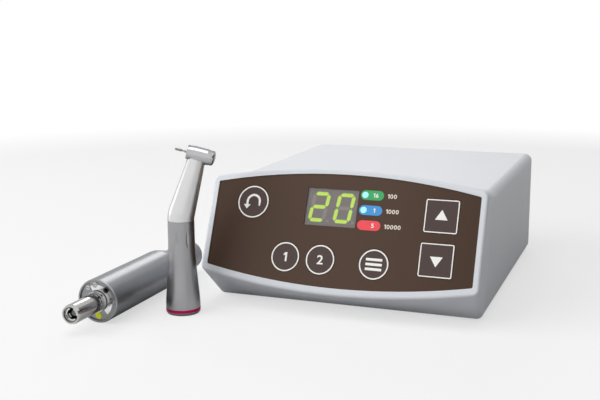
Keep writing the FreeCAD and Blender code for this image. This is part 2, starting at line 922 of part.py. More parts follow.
def power_jack():
    nut_end = rear_face + jack_nut
    end = nut_end + jack_proud
    body = fused([rear_rod(jack_nut_radius, rear_face, nut_end, jack_across),
                  rear_rod(jack_radius, rear_face - jack_body_length, end, jack_across)])
    body = body.cut(rear_rod(jack_bore, end - jack_bore_depth, end, jack_across))
    return fused([body, rear_rod(jack_pin, end - jack_bore_depth, end - jack_proud, jack_across)])


def power_switch_frame():
    box_low = rear_face - switch_box_depth
    flange_end = rear_face + switch_flange
    body = fused([rear_block(switch_across, switch_flange_width, switch_flange_height, rear_face, flange_end),
                  rear_block(switch_across, switch_box_width, switch_box_height, box_low, rear_face)])
    well = rear_block(switch_across, switch_box_width - 2 * switch_wall, switch_box_height - 2 * switch_wall,
                      box_low + switch_wall, flange_end)
    pivot = Part.makeCylinder(rocker_pin_radius + pin_clearance, switch_box_height,
                              V(switch_across, flange_end - rocker_pivot_depth, rear_row - switch_box_height / 2))
    return cut_all(body, [well, pivot])


def power_rocker():
    """Rocker with its pin, resting on its left end."""
    half = switch_box_width / 2 - switch_wall - rocker_gap
    tall = switch_box_height / 2 - switch_wall - rocker_side_gap
    level = rocker_pivot_depth
    right = [(half, level + rocker_rise), (half - rocker_taper, level - 1.0), (rocker_root, -rocker_root_depth)]
    left = [(-x, y) for x, y in reversed(right)]
    body = prism([(0.0, level + rocker_dip)] + right + left, -tall, tall)
    body = fused([body, rod(rocker_pin_radius, -switch_box_height / 2, switch_box_height / 2)])
    body.rotate(V(0, 0, 0), V(0, 0, 1), -rocker_swing / 2)
    return moved(body, switch_across, rear_face + switch_flange - rocker_pivot_depth, rear_row)


# Main board

def main_board():
    board = box(-board_half, board_half, board_front, board_back, board_low, board_top)
    return cut_all(board, [rod(board_screw_radius, board_low, board_top, x, y) for x, y in pillar_places])


def board_screws():
    """Screws of the main board and, behind the panel, of the key board."""
    one = flipped(screw(board_screw_head, board_screw_head_height, board_screw_radius, board_top - base_top))
    screws = [moved(one, x, y, board_top) for x, y in pillar_places]
    one = screw(key_screw_head, key_screw_head_height, key_screw_radius, plate_back - board_rear)
    screws += [on_panel(moved(one, x, y, board_rear)) for x, y in key_post_places]
    return Part.makeCompound(screws)


def filter_capacitors():
    cans = []
    for index in range(capacitor_count):
        x = capacitor_inset - board_half + index * capacitor_pitch
        can = rod(capacitor_radius, board_top, board_top + capacitor_height, x, sink_front)
        cans.append(can.makeFillet(capacitor_edge, edges_near(can, lambda b: b.ZLength < wall)))
    return Part.makeCompound(cans)


def heat_sink():
    right = sink_left + sink_width
    wall_end = sink_front + sink_back
    pieces = [box(sink_left, right, sink_front, wall_end, board_top, board_top + sink_height)]
    step = (sink_width - fin_thickness) / (fin_count - 1)
    for index in range(fin_count):
        x = sink_left + index * step
        pieces.append(box(x, x + fin_thickness, wall_end, wall_end + fin_depth, board_top, board_top + sink_height))
    return fused(pieces)


def board_parts():
    """Chips, driver transistors and headers on the main board."""
    parts = [box(x - w / 2, x + w / 2, y - d / 2, y + d / 2, board_top, board_top + chip_height)
             for x, y, w, d in chips]
    parts += [box(x - w / 2, x + w / 2, header_row - header_depth / 2, header_row + header_depth / 2,
                  board_top, board_top + header_height) for x, w in header_blocks]
    step = sink_width / transistor_count
    low = board_top + transistor_lift
    for index in range(transistor_count):
        x = sink_left + (index + 0.5) * step
        middle = sink_front - transistor_depth / 2
        body = box(x - transistor_width / 2, x + transistor_width / 2, sink_front - transistor_depth, sink_front,
                   low, low + transistor_height)
        legs = [box(x + shift - leg_width / 2, x + shift + leg_width / 2, middle - leg_width / 2,
                    middle + leg_width / 2, board_top, low) for shift in (-leg_pitch, 0.0, leg_pitch)]
        parts.append(fused([body] + legs))
    return Part.makeCompound(parts)


def panel_cable():
    """Flat cable from the key board to the middle header, with a plug at each end."""
    start = on_panel(Part.Vertex(V(0, cable_up, board_rear - cable_thickness))).Point
    bend = start.sub(panel_out * cable_run)
    header_end = board_top + header_height
    route = [V(0, start.y, start.z), V(0, bend.y, bend.z), V(0, header_row, bend.z),
             V(0, header_row, header_end + cable_thickness)]
    strip = flat_path(route, cable_bend).makeOffset2D(cable_thickness / 2, 0, True, False, True)
    strip = moved(strip.extrude(V(cable_width, 0, 0)), cable_across - cable_width / 2, 0, 0)
    half = header_depth / 2
    upper = on_panel(box(cable_across - cable_width / 2, cable_across + cable_width / 2, cable_up - half,
                         cable_up + half, board_rear - cable_plug_height, board_rear))
    lower = box(cable_across - cable_width / 2, cable_across + cable_width / 2, header_row - half,
                header_row + half, header_end, header_end + cable_plug_height)
    return fused([strip, upper, lower])


# Panel, keys and display

def face_panel():
    outline = bowed_outline(panel_half - panel_gap, panel_top - panel_gap, panel_low + panel_gap,
                            (panel_bow_top, panel_bow_low), (panel_corner_radius, panel_corner_radius), panel_back)
    return on_panel(cut_all(plate(outline, panel_thickness),
                            panel_openings(key_gap, panel_back - wall, panel_face + wall)))


def key(name):
    outline, at = key_outlines[name]
    cap = key_block(outline, key_stop, key_face, 0.0, at)
    flange_low = key_stop - key_flange_thickness
    flange = key_block(outline, flange_low, key_stop, key_flange, at)
    return on_panel(fused([cap, flange, rod(key_stem_radius, stem_end, flange_low, at[0], at[1])]))


def key_board():
    board = box(-key_board_half, key_board_half, key_board_bottom, key_board_top, board_rear, board_face)
    return on_panel(cut_all(board, [rod(key_screw_radius, board_rear, board_face, x, y)
                                    for x, y in key_post_places]))


def tact_switches():
    one = fused([box(-switch_side / 2, switch_side / 2, -switch_side / 2, switch_side / 2, board_face, switch_base),
                 rod(switch_stem_radius, switch_base, switch_top)])
    return on_panel(Part.makeCompound([moved(one, x, y, 0) for outline, (x, y) in key_outlines.values()]))


def display_block(z0, z1):
    return rounded_block(display_width - 2 * insert_gap, display_height - 2 * insert_gap,
                         display_corner_radius, z0, z1, display_at)


def slanted(x, y):
    return x + y * math.tan(math.radians(digit_slant)), y


def bar(x0, y0, x1, y1, shift):
    """Six-sided bar of a digit between two points."""
    half = bar_width / 2
    length = math.hypot(x1 - x0, y1 - y0)
    along = ((x1 - x0) / length, (y1 - y0) / length)
    outline = []
    for step, aside in ((0, 0), (half, half), (length - half, half), (length, 0),
                        (length - half, -half), (half, -half)):
        x, y = slanted(x0 + along[0] * step - along[1] * aside, y0 + along[1] * step + along[0] * aside)
        outline.append((x + shift, y))
    return prism(outline, display_face - bar_depth, display_face)


def digit_bars():
    """Seven bars and a point for each of the two digits."""
    wide = (digit_width - bar_width) / 2
    high = (digit_height - bar_width) / 2
    gap = bar_gap / 2
    ends = [(gap - wide, level, wide - gap, level) for level in (high, 0.0, -high)]
    ends += [(x, low + gap, x, low + high - gap) for x in (-wide, wide) for low in (0.0, -high)]
    solids = []
    for shift in (-digit_pitch / 2, digit_pitch / 2):
        solids += [bar(*points, shift) for points in ends]
        x, y = slanted(digit_width / 2 + 2 * point_radius, point_radius - digit_height / 2)
        solids.append(rod(point_radius, display_face - bar_depth, display_face, x + shift, y))
    return [moved(solid, display_at[0], display_at[1], 0) for solid in solids]


def indicator_lamps():
    lamps = []
    top = plate_back - lamp_gap - lamp_radius
    for x, y in lens_places:
        x += lamp_inset - lens_length / 2
        lamps.append(fused([rod(lamp_radius, board_face, top, x, y), Part.makeSphere(lamp_radius, V(x, y, top))]))
    return on_panel(Part.makeCompound(lamps))


def ratio_lenses():
    lenses = [pill(lens_length - 2 * insert_gap, lens_height - 2 * insert_gap, plate_back, panel_face, at)
              for at in lens_places]
    return on_panel(Part.makeCompound(lenses))


# Motor handpiece

def motor_shell():
    points = [V(motor_radius, 0, -straight)]
    points += [V(radius, 0, ahead - motor_length) for radius, ahead in tail_points]
    curve = Part.BSplineCurve()
    curve.interpolate(Points=points, InitialTangent=V(0, 0, -1), FinalTangent=V(0, 0, -1))
    last = points[-1]
    end = V(tail_end_radius, 0, -motor_length)
    bulge = last.add(end).multiply(0.5).add(V(last.z - end.z, 0, last.x - end.x) * tail_end_bulge)
    edges = [Part.LineSegment(V(0, 0, 0), V(motor_radius - face_bevel, 0, 0)),
             Part.LineSegment(V(motor_radius - face_bevel, 0, 0), V(motor_radius, 0, -face_bevel)),
             Part.LineSegment(V(motor_radius, 0, -face_bevel), points[0]), curve, Part.Arc(last, bulge, end),
             Part.LineSegment(end, V(0, 0, -motor_length)), Part.LineSegment(V(0, 0, -motor_length), V(0, 0, 0))]
    section = Part.Face(Part.Wire([edge.toShape() for edge in edges]))
    body = section.revolve(V(0, 0, 0), V(0, 0, 1), 360)
    bore = motor_radius - motor_wall
    seat = tail_bore + insert_wall
    room = [(radius - motor_wall, ahead - motor_length) for radius, ahead in tail_points
            if ahead > tail_bore_depth + insert_length]
    body = cut_all(body, [turned([(0, 0), (bore, 0), (bore, -straight)] + room + [(seat, -insert_front),
                                  (seat, tail_bore_depth - motor_length), (tail_bore, tail_bore_depth - motor_length),
                                  (tail_bore, -motor_length), (0, -motor_length)])])
    web = tube(bore + motor_wall / 2, motor_bearing_radius, rear_bearing, rear_bearing + motor_bearing_width)
    holes = [rod(wire_hole_radius, rear_bearing, rear_bearing + motor_bearing_width, x, y)
             for x, y in ring_of(wire_hole_circle, 3)]
    return on_motor(fused([body, cut_all(web, holes)]))


def flange_places():
    """Places of the screws, ports and lamp on the front flange."""
    return ([on_circle(face_screw_circle, angle) for angle in face_screw_angles],
            [on_circle(port_circle, angle) for angle in port_angles],
            on_circle(motor_lamp_circle, motor_lamp_angle))


def front_flange():
    top = -face_recess
    body = fused([rod(motor_radius - motor_wall - panel_gap, flange_low, top),
                  rod(motor_bearing_radius + bearing_boss, front_bearing, flange_low)])
    wedge = [(0.0, 0.0)] + [on_circle(2 * motor_radius, angle) for angle in pad_angles]
    pad = tube(pad_outer, pad_inner, top, top + pad_height).common(prism(wedge, top, top + pad_height))
    body = fused([body, pad])
    tools = [rod(nose_root_radius, flange_low, top), rod(motor_bearing_radius, front_bearing, flange_low)]
    screws, ports, lamp = flange_places()
    for x, y in screws:
        tools.append(rod(face_screw_radius, flange_low, top, x, y))
        tools.append(rod(face_screw_head + panel_gap, top - face_screw_head_height / 2, 0.0, x, y))
    for x, y in ports:
        tools.append(rod(port_radius, flange_low, 0.0, x, y))
        tools.append(rod(port_seal_radius, top - port_seal_depth, 0.0, x, y))
    tools.append(rod(motor_lamp_radius, top - motor_lamp_depth, top, lamp[0], lamp[1]))
    return on_motor(cut_all(body, tools))


def coupling_nose():
    outline = [(nose_bore, flange_low), (nose_root_radius, flange_low), (nose_root_radius, -face_recess),
               (nose_collar_radius, -face_recess), (nose_collar_radius, nose_collar), (nose_radius, nose_collar)]
    floor = nose_radius - groove_depth
    for place in groove_places:
        outline += [(nose_radius, place), (floor, place), (floor, place + groove_width),
                    (nose_radius, place + groove_width)]
    outline += [(nose_radius, nose_length - nose_tip_bevel), (nose_tip_radius, nose_length),
                (nose_mouth_radius, nose_length), (nose_mouth_radius, nose_length - nose_mouth),
                (nose_bore, nose_length - nose_mouth)]
    return on_motor(turned(outline))


def motor_seals():
    """Rings in the nose's grooves and round the air and water ports."""
    rings = [tube(nose_radius - seal_recess, nose_radius - groove_depth, place, place + groove_width)
             for place in groove_places]
    for x, y in flange_places()[1]:
        rings.append(tube(port_seal_radius, port_radius, -face_recess - port_seal_depth,
                          port_seal_rise - face_recess, x, y))
    return on_motor(Part.makeCompound(rings))


def claw_bars(width, reach, z0, z1):
    """Bars from the axis outwards, at the angles of the drive dog's slots."""
    bars = []
    for angle in dog_angles:
        bar = box(0.0, reach, -width / 2, width / 2, z0, z1)
        bar.rotate(V(0, 0, 0), V(0, 0, 1), angle)
        bars.append(bar)
    return bars


def drive_dog():
    slot_floor = dog_top - dog_slot_depth
    dog = rod(dog_radius, dog_foot, dog_top)
    tools = [rod(dog_hollow, slot_floor, dog_top), rod(shaft_radius, dog_foot, slot_floor)]
    return on_motor(cut_all(dog, tools + claw_bars(dog_slot, nose_radius, slot_floor, dog_top)))


def rotor():
    return on_motor(fused([rod(shaft_radius, rear_bearing - rear_bearing_gap, dog_top - dog_slot_depth),
                           rod(magnet_radius, -magnet_back, -magnet_front)]))


def motor_bearings():
    rings = [tube(motor_bearing_radius, shaft_radius + running_gap, low, low + motor_bearing_width)
             for low in (front_bearing, rear_bearing)]
    return on_motor(Part.makeCompound(rings))


def stator_core():
    return on_motor(tube(motor_radius - motor_wall, core_bore, -magnet_back, -magnet_front))


def stator_windings():
    return on_motor(tube(core_bore, magnet_radius + air_gap, -magnet_back - winding_overhang,
                         winding_overhang - magnet_front))


def motor_lamp():
    x, y = flange_places()[2]
    return on_motor(rod(motor_lamp_radius, -face_recess - motor_lamp_depth, motor_lamp_proud - face_recess, x, y))


def face_screws():
    one = flipped(screw(face_screw_head, face_screw_head_height, face_screw_radius,
                        flange_thickness - face_screw_head_height / 2, width=face_screw_slot))
    return on_motor(Part.makeCompound([moved(one, x, y, -face_recess - face_screw_head_height / 2)
                                       for x, y in flange_places()[0]]))


def hose_insert():
    """Connector in the tail and, as solids of their own, its pins."""
    floor = tail_bore_depth - motor_length
    body = rod(tail_bore + insert_wall, floor, -insert_front)
    body = body.cut(rod(tail_bore - insert_wall, floor, floor + insert_well))
    pins = [rod(tail_pin_radius, floor + insert_well - tail_pin_height, -insert_front, x, y)
            for x, y in ring_of(tail_pin_circle, tail_pin_count)]
    return on_motor(Part.makeCompound([cut_all(body, pins)] + pins))


# Shells of the contra-angle

def base_ring():
    return on_contra(turned([(collar_bore, 0.0), (base_ring_foot, 0.0), (base_ring_radius, base_ring_edge),
                             (base_ring_radius, base_ring_height), (collar_bore, base_ring_height)]))


def colour_ring():
    return on_contra(tube(colour_ring_radius, collar_bore, base_ring_height, base_ring_height + colour_ring_height))


def handle_shell():
    low = base_ring_height + colour_ring_height
    points = [V(handle_foot_radius, 0, low)] + [V(radius, 0, height) for radius, height in handle_points]
    points.append(V(handle_top_radius, 0, handle_top))
    curve = Part.BSplineCurve()
    curve.interpolate(Points=points, InitialTangent=V(0, 0, 1), FinalTangent=V(0, 0, 1))
    foot = V(0, 0, low)
    top = V(0, 0, handle_top)
    edges = [Part.LineSegment(foot, points[0]), curve, Part.LineSegment(points[-1], top), Part.LineSegment(top, foot)]
    section = Part.Face(Part.Wire([edge.toShape() for edge in edges]))
    body = section.revolve(V(0, 0, 0), V(0, 0, 1), 360)
    tools = [rod(handle_bore, low, socket_depth), rod(waist_bore, socket_depth, handle_top)]
    low_end = dimple_height - dimple_length / 2
    high_end = dimple_height + dimple_length / 2
    for angle in dimple_angles:
        x, y = on_circle(handle_top_radius + dimple_radius - dimple_depth, angle)
        tools.append(moved(spindle(dimple_radius, low_end, high_end), x, y, 0))
    return on_contra(cut_all(body, tools))


def neck_radius(along):
    """Outer radius of the neck at a distance along it from the bend."""
    share = (along - elbow_end) / (neck_length - elbow_end)
    return handle_top_radius + (neck_top_radius - handle_top_radius) * share


def neck_form(inset, length):
    """Elbow and tapered neck, moved in by the inset."""
    disc = Part.Face(Part.Wire(Part.makeCircle(handle_top_radius - inset, V(0, 0, shell_start))))
    elbow = disc.revolve(V(elbow_radius, 0, shell_start), V(0, 1, 0), neck_tilt)
    cone = Part.makeCone(handle_top_radius - inset, neck_radius(length) - inset, length - elbow_end,
                         V(0, 0, elbow_end))
    return fused([elbow, on_neck(cone)])


def head_form():
    """Barrel of the head, drawn in by an arc towards the bur and tapered towards the cap."""
    drop = head_back_radius - head_front_radius
    rise = head_front - head_full
    sweep = 2 * math.atan2(drop, rise)
    radius = rise / math.sin(sweep)
    middle = V(head_back_radius - radius + radius * math.cos(sweep / 2), 0, head_full + radius * math.sin(sweep / 2))
    corners = [V(0, 0, head_front), V(0, 0, -head_back), V(head_end_radius, 0, -head_back),
               V(head_back_radius, 0, head_end_taper - head_back), V(head_back_radius, 0, head_full)]
    front = V(head_front_radius, 0, head_front)
    edges = [Part.LineSegment(*ends) for ends in zip(corners, corners[1:])]
    edges += [Part.Arc(corners[-1], middle, front), Part.LineSegment(front, corners[0])]
    section = Part.Face(Part.Wire([edge.toShape() for edge in edges]))
    return on_head(section.revolve(V(0, 0, 0), V(0, 0, 1), 360))


def light_bore(depth):
    """Rod of the given depth, into the bur's side of the neck where its light shines out."""
    edge = neck_radius(light_height)
    return on_neck(Part.makeCylinder(light_radius, depth + light_proud, V(depth - edge, 0, light_height), V(-1, 0, 0)))


def neck_shell():
    body = neck_form(0.0, neck_length).cut(neck_form(neck_wall, neck_length))
    return on_contra(cut_all(body, [light_bore(light_depth), head_form()]))


def light_window():
    return on_contra(light_bore(light_depth).cut(head_form()))


def head_housing():
    bore = on_head(rod(head_bore, -head_back, head_front - head_front_wall))
    mouth = on_head(rod(head_mouth, 0.0, head_front))
    well = on_neck(rod(crown_outer + crown_room, 0.0, head_height - spindle_radius))
    return on_contra(cut_all(head_form(), [bore, mouth, well]))


def head_cap():
    high = -head_back - cap_joint
    low = high - cap_thickness
    ring = rod(head_end_radius, low, high)
    ring = ring.makeFillet(cap_round, edges_near(ring, lambda b: b.ZMax < low + cap_joint))
    return on_contra(on_head(ring.cut(rod(cap_bore, low, high))))


def push_button():
    radius = cap_bore - button_gap
    low = -head_back - cap_joint - cap_thickness - button_dome
    flange = -head_back + cap_joint
    dome_radius = (radius ** 2 + button_dome ** 2) / (2 * button_dome)
    body = rod(radius, low, flange).common(Part.makeSphere(dome_radius, V(0, 0, low + dome_radius)))
    return on_contra(on_head(fused([body, rod(button_flange_radius, flange, flange + button_flange)])))


def button_spring():
    """Dished spring ring on the rear bearing, which the button just reaches when it is pressed."""
    low = -head_back + cap_joint + button_flange + button_travel + cap_joint
    high = -head_bearing_back
    ring = turned([(spring_outer, high), (spring_inner, low + spring_thickness), (spring_inner, low),
                   (spring_outer, high - spring_thickness)])
    return on_contra(on_head(ring))


def bur():
    head = bur_reach - bur_head_length
    profile = [(0, -bur_tail), (bur_radius, -bur_tail), (bur_radius, bur_shoulder),
               (bur_neck_radius, bur_shoulder + bur_neck_taper), (bur_neck_radius, head),
               (bur_head_radius, head + bur_head_taper), (bur_head_radius, bur_reach - bur_head_taper),
               (bur_neck_radius, bur_reach), (0, bur_reach)]
    return on_contra(on_head(turned(profile)))


# Drive of the contra-angle

def toothed(teeth, radius, tooth_shape, turn):
    """Outline of a toothed wheel on a pitch circle."""
    inside, outside, root_share, tip_share = tooth_shape
    step = 360.0 / teeth
    points = []
    for index in range(teeth):
        middle = turn + index * step
        for reach, share in ((radius - inside, -root_share), (radius + outside, -tip_share),
                             (radius + outside, tip_share), (radius - inside, root_share)):
            points.append(on_circle(reach, middle + share * step / 2))
    return points


def radial_teeth(teeth, inner, outer, width, z0, z1, fall, turn):
    """Bars that point outwards from the axis and fall by the given angle."""
    bars = []
    for index in range(teeth):
        tooth = box(inner, outer, -width / 2, width / 2, z0, z1)
        tooth.rotate(V(0, 0, 0), V(0, 1, 0), fall)
        tooth.rotate(V(0, 0, 0), V(0, 0, 1), turn + 360.0 * index / teeth)
        bars.append(tooth)
    return bars


def face_gear(turn):
    """Low conical gear whose teeth point at the cone's tip, which is at zero."""
    fall = math.tan(lean / 2)
    low = -face_blank - face_outer * fall
    blank = turned([(0, low), (face_outer, low), (face_outer, -face_root - face_outer * fall),
                    (face_inner, -face_root - face_inner * fall), (0, -face_root - face_inner * fall)])
    teeth = radial_teeth(face_teeth, face_inner, face_outer - tooth_end_gap, face_tooth_width,
                         -face_root - tooth_sink, face_tooth_height, neck_tilt / 2, turn)
    return fused([blank] + teeth)


def input_shaft():
    """Claw, shaft and cup with inner teeth, a gap between them pointing along X."""
    claw = Part.makeCompound(claw_bars(claw_width, nose_radius, claw_low, socket_depth + claw_gap))
    claw = claw.common(rod(claw_radius, claw_low, socket_depth + claw_gap))
    shaft = rod(claw_hub, claw_low, cup_low)
    cup = rod(cup_radius, cup_low, cup_top)
    gaps = toothed(ring_teeth, gear_module * ring_teeth / 2, cup_gap_shape, 0.0)
    cup = cup.cut(prism(gaps, cup_low + cup_floor, cup_top))
    return on_contra(fused([claw, shaft, cup]))


def middle_shaft():
    outline = toothed(pinion_teeth, gear_module * pinion_teeth / 2, pinion_tooth_shape, 0.0)
    pinion = prism(outline, pinion_low, cup_top - end_gap)
    shaft = rod(middle_shaft_radius, pinion_low, face_point - face_blank)
    whole = fused([pinion, shaft, moved(face_gear(0.0), 0, 0, face_point)])
    return on_contra(moved(whole, gear_offset, 0, 0))


def neck_shaft():
    lower = moved(flipped(face_gear(180.0 / face_teeth)), 0, 0, neck_start)
    blank_top = crown_plane - crown_root
    upper = rod(crown_outer, blank_top - crown_blank, blank_top)
    teeth = radial_teeth(crown_teeth, crown_inner, crown_outer - tooth_end_gap, crown_tooth_width,
                         blank_top - tooth_sink, crown_plane + crown_tooth_height, 0.0, 180.0 / crown_teeth)
    shaft = rod(neck_shaft_radius, neck_start + face_blank, blank_top - crown_blank)
    return on_contra(on_neck(fused([lower, shaft, upper] + teeth)))


def chuck_spindle():
    """Hollow spindle whose pinion has a tooth that points down at the crown gear."""
    outline = toothed(spindle_teeth, spindle_pitch, spindle_tooth_shape, 180.0)
    pinion = prism(outline, -crown_pitch - pinion_face / 2, -crown_pitch + pinion_face / 2)
    body = fused([rod(spindle_radius, -spindle_back, spindle_front), pinion])
    return on_contra(on_head(body.cut(rod(bur_radius + chuck_gap, -spindle_back, spindle_front))))


def contra_bearings():
    """Rings on the input, middle and neck shafts and on the spindle."""
    rings = [tube(waist_bore, input_shaft_radius + running_gap, input_bearing_low,
                  input_bearing_low + input_bearing_width)]
    for low in (carrier_low + carrier_lip, bend_height + elbow_carrier_rise + carrier_lip):
        rings.append(tube(middle_bearing_radius, middle_shaft_radius + running_gap,
                          low, low + middle_bearing_width, gear_offset))
    for low in (neck_bearing_low, neck_bearing_high):
        rings.append(on_neck(tube(neck_bearing_radius, neck_shaft_radius + running_gap,
                                  low, low + neck_bearing_width)))
    for low in (head_bearing_front - head_bearing_width, -head_bearing_back):
        rings.append(on_head(tube(head_bore, spindle_radius + running_gap, low, low + head_bearing_width)))
    return on_contra(Part.makeCompound(rings))


def nose_sleeve():
    """Socket for the motor's nose, relieved and then closed by a lid round the claw."""
    guide = nose_radius + nose_clearance
    socket = tube(handle_bore, guide, sleeve_start, socket_depth)
    socket = socket.cut(rod(guide + guide_relief, guide_end, socket_depth))
    lid = tube(waist_bore, claw_radius + sleeve_lid_gap, socket_depth, input_bearing_low)
    return fused([socket, lid])


def gear_carrier():
    """Block in the handle round the middle shaft and its lower bearing."""
    seat = carrier_low + carrier_lip
    block = rod(waist_bore, carrier_low, handle_top)
    return cut_all(block, [
        rod(middle_shaft_radius + shaft_room, carrier_low, handle_top, gear_offset),
        rod(middle_bearing_radius, seat, seat + middle_bearing_width, gear_offset)])


def elbow_carrier():
    """Block in the elbow round the middle shaft's upper bearing."""
    low = bend_height + elbow_carrier_rise
    high = low + carrier_lip + middle_bearing_width
    reach = 2 * handle_top_radius
    block = neck_form(neck_wall, neck_length).common(box(-reach, reach, -reach, reach, low, high))
    return cut_all(block, [rod(middle_shaft_radius + shaft_room, low, high, gear_offset),
                           rod(middle_bearing_radius, low + carrier_lip, high, gear_offset)])


def neck_sleeve():
    """Sleeve in the neck round the neck shaft's bearings."""
    low = neck_bearing_low - sleeve_ends
    high = neck_bearing_high + neck_bearing_width + sleeve_ends
    body = Part.makeCone(neck_radius(low) - neck_wall, neck_radius(high) - neck_wall, high - low, V(0, 0, low))
    tools = [rod(neck_bearing_radius, place, place + neck_bearing_width)
             for place in (neck_bearing_low, neck_bearing_high)]
    body = cut_all(body, tools + [rod(neck_shaft_radius + shaft_room, low, high)])
    return on_neck(body).cut(head_form())


def inner_sleeves():
    return on_contra(Part.makeCompound([nose_sleeve(), gear_carrier(), elbow_carrier(), neck_sleeve()]))


nodes = {
    "front_frame": front_frame,
    "top_cover": top_cover,
    "base_plate": base_plate,
    "rear_panel": rear_panel,
    "rubber_feet": rubber_feet,
    "housing_screws": housing_screws,
    "face_panel": face_panel,
    "display_window": lambda: on_panel(display_block(display_face, panel_face)),
    "display_module": lambda: on_panel(cut_all(display_block(board_face, display_face), digit_bars())),
    "display_segments": lambda: on_panel(Part.makeCompound(digit_bars())),
    "ratio_lenses": ratio_lenses,
    "indicator_lamps": indicator_lamps,
    "key_board": key_board,
    "tact_switches": tact_switches,
    "main_board": main_board,
    "board_screws": board_screws,
    "board_parts": board_parts,
    "filter_capacitors": filter_capacitors,
    "heat_sink": heat_sink,
    "panel_cable": panel_cable,
    "air_water_manifold": air_water_manifold,
    "motor_hose_socket": motor_hose_socket,
    "unit_hose_inlet": unit_hose_inlet,
    "power_jack": power_jack,
    "power_switch_frame": power_switch_frame,
    "power_rocker": power_rocker,
    "motor_shell": motor_shell,
    "front_flange": front_flange,
    "coupling_nose": coupling_nose,
    "motor_seals": motor_seals,
    "drive_dog": drive_dog,
    "rotor": rotor,
    "motor_bearings": motor_bearings,
    "stator_core": stator_core,
    "stator_windings": stator_windings,
    "motor_lamp": motor_lamp,
    "face_screws": face_screws,
    "hose_insert": hose_insert,
    "base_ring": base_ring,
    "colour_ring": colour_ring,
    "handle_shell": handle_shell,
    "neck_shell": neck_shell,
    "light_window": light_window,
    "head_housing": head_housing,
    "head_cap": head_cap,
    "push_button": push_button,
    "button_spring": button_spring,
    "bur": bur,
    "inner_sleeves": inner_sleeves,
    "input_shaft": input_shaft,
    "middle_shaft": middle_shaft,
    "neck_shaft": neck_shaft,
    "chuck_spindle": chuck_spindle,
    "contra_bearings": contra_bearings}
for key_name in key_outlines:
    nodes[key_name] = lambda name=key_name: key(name)

os.makedirs("parts", exist_ok=True)
for node, make in nodes.items():
    shape = make()
    shape.translate(set_centre.negative())
    shape.exportStep("parts/" + node + ".step")
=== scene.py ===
"""Finishes, printed marks and studio of a dental micromotor set, laid out as an add-on."""

import math

import bmesh
import bpy
from bpy.props import FloatProperty, FloatVectorProperty, PointerProperty
from bpy.types import Operator, Panel, PropertyGroup
from mathutils import Matrix, Vector


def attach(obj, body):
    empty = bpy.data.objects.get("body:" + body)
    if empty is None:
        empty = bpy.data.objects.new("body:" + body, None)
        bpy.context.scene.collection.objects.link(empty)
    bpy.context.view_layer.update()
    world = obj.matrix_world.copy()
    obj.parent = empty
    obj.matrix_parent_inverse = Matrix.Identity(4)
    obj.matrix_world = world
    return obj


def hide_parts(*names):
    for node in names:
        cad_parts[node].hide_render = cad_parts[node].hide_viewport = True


bl_info = {
    "name": "Dental Micromotor Set",
    "version": (1, 0, 0),
    "blender": (4, 5, 0),
    "location": "View3D > Sidebar > Micromotor",
    "description": "Finishes, prints and studio for the control unit, the motor and the contra-angle",
    "category": "Object",
}

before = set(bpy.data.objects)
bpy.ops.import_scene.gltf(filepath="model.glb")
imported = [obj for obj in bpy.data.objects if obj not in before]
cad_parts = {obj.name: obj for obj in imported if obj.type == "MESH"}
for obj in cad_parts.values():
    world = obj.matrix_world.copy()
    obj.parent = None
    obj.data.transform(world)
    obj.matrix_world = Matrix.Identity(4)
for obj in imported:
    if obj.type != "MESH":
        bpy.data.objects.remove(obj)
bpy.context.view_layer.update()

MM = 0.001
X_AXIS, Y_AXIS, Z_AXIS = (1.0, 0.0, 0.0), (0.0, 1.0, 0.0), (0.0, 0.0, 1.0)

# The panel's own frame: X to the right, Y up along the panel, Z out of it.
PANEL_TILT = math.radians(23.5)
PANEL_ORIGIN = Vector((24.825, -45.163, 69.8)) * MM
PANEL = Matrix.Translation(PANEL_ORIGIN) @ Matrix.Rotation(math.pi / 2 - PANEL_TILT, 4, "X")

# The middle of the motor's front face. Its axis runs along Y, and its nose points to -Y.
MOTOR_ORIGIN = Vector((-93.775, -117.837, 12.35)) * MM

# The contra-angle's lines: the way its neck leans, and the line of its bur.
NECK_AXIS = Vector((0.271756, 0.103230, 0.956814))
HEAD_AXIS = Vector((-0.902972, -0.343007, 0.258819))
HEAD_MIDDLE = Vector((-49.265, -79.510, 90.441)) * MM

DIGIT_WIDTH, DIGIT_HEIGHT, DIGIT_PITCH = 10.4 * MM, 17.4 * MM, 14.8 * MM
DIGIT_SLANT = math.radians(7.0)
BAR_WIDTH, POINT_WIDTH = 2.1 * MM, 4.0 * MM

# A lit spot's radius and inset, as shares of its lens's height, and its soft rim.
SPOT_RADIUS, SPOT_INSET, SPOT_RIM = 0.36, 0.47, 0.35 * MM

# Where a lens's number stands, as a share of its length.
LENS_NUMBER = 0.66

# A figure's height as a share of the font's size, and how much wider and bolder it's drawn.
FIGURE_SHARE, FIGURE_STRETCH = 0.7, 1.1
KEY_BOLD, SMALL_BOLD = 0.25 * MM, 0.12 * MM

# Sides of a printed ring, and the distance in metres within which two places are one.
RING_SIDES, HAIR = 96, 1e-6

ROUND_KEYS = ("reverse_key", "memory_key_1", "memory_key_2", "select_key")
SPEED_KEYS = ("speed_up_key", "speed_down_key")

# The floor's side, and where it starts to go over to plain white and over what length.
FLOOR_SIDE, FADE_START, FADE_LENGTH = 12.0, 0.35, 0.5
WHITE, MID_GREY = (1.0, 1.0, 1.0), (0.5, 0.5, 0.5)

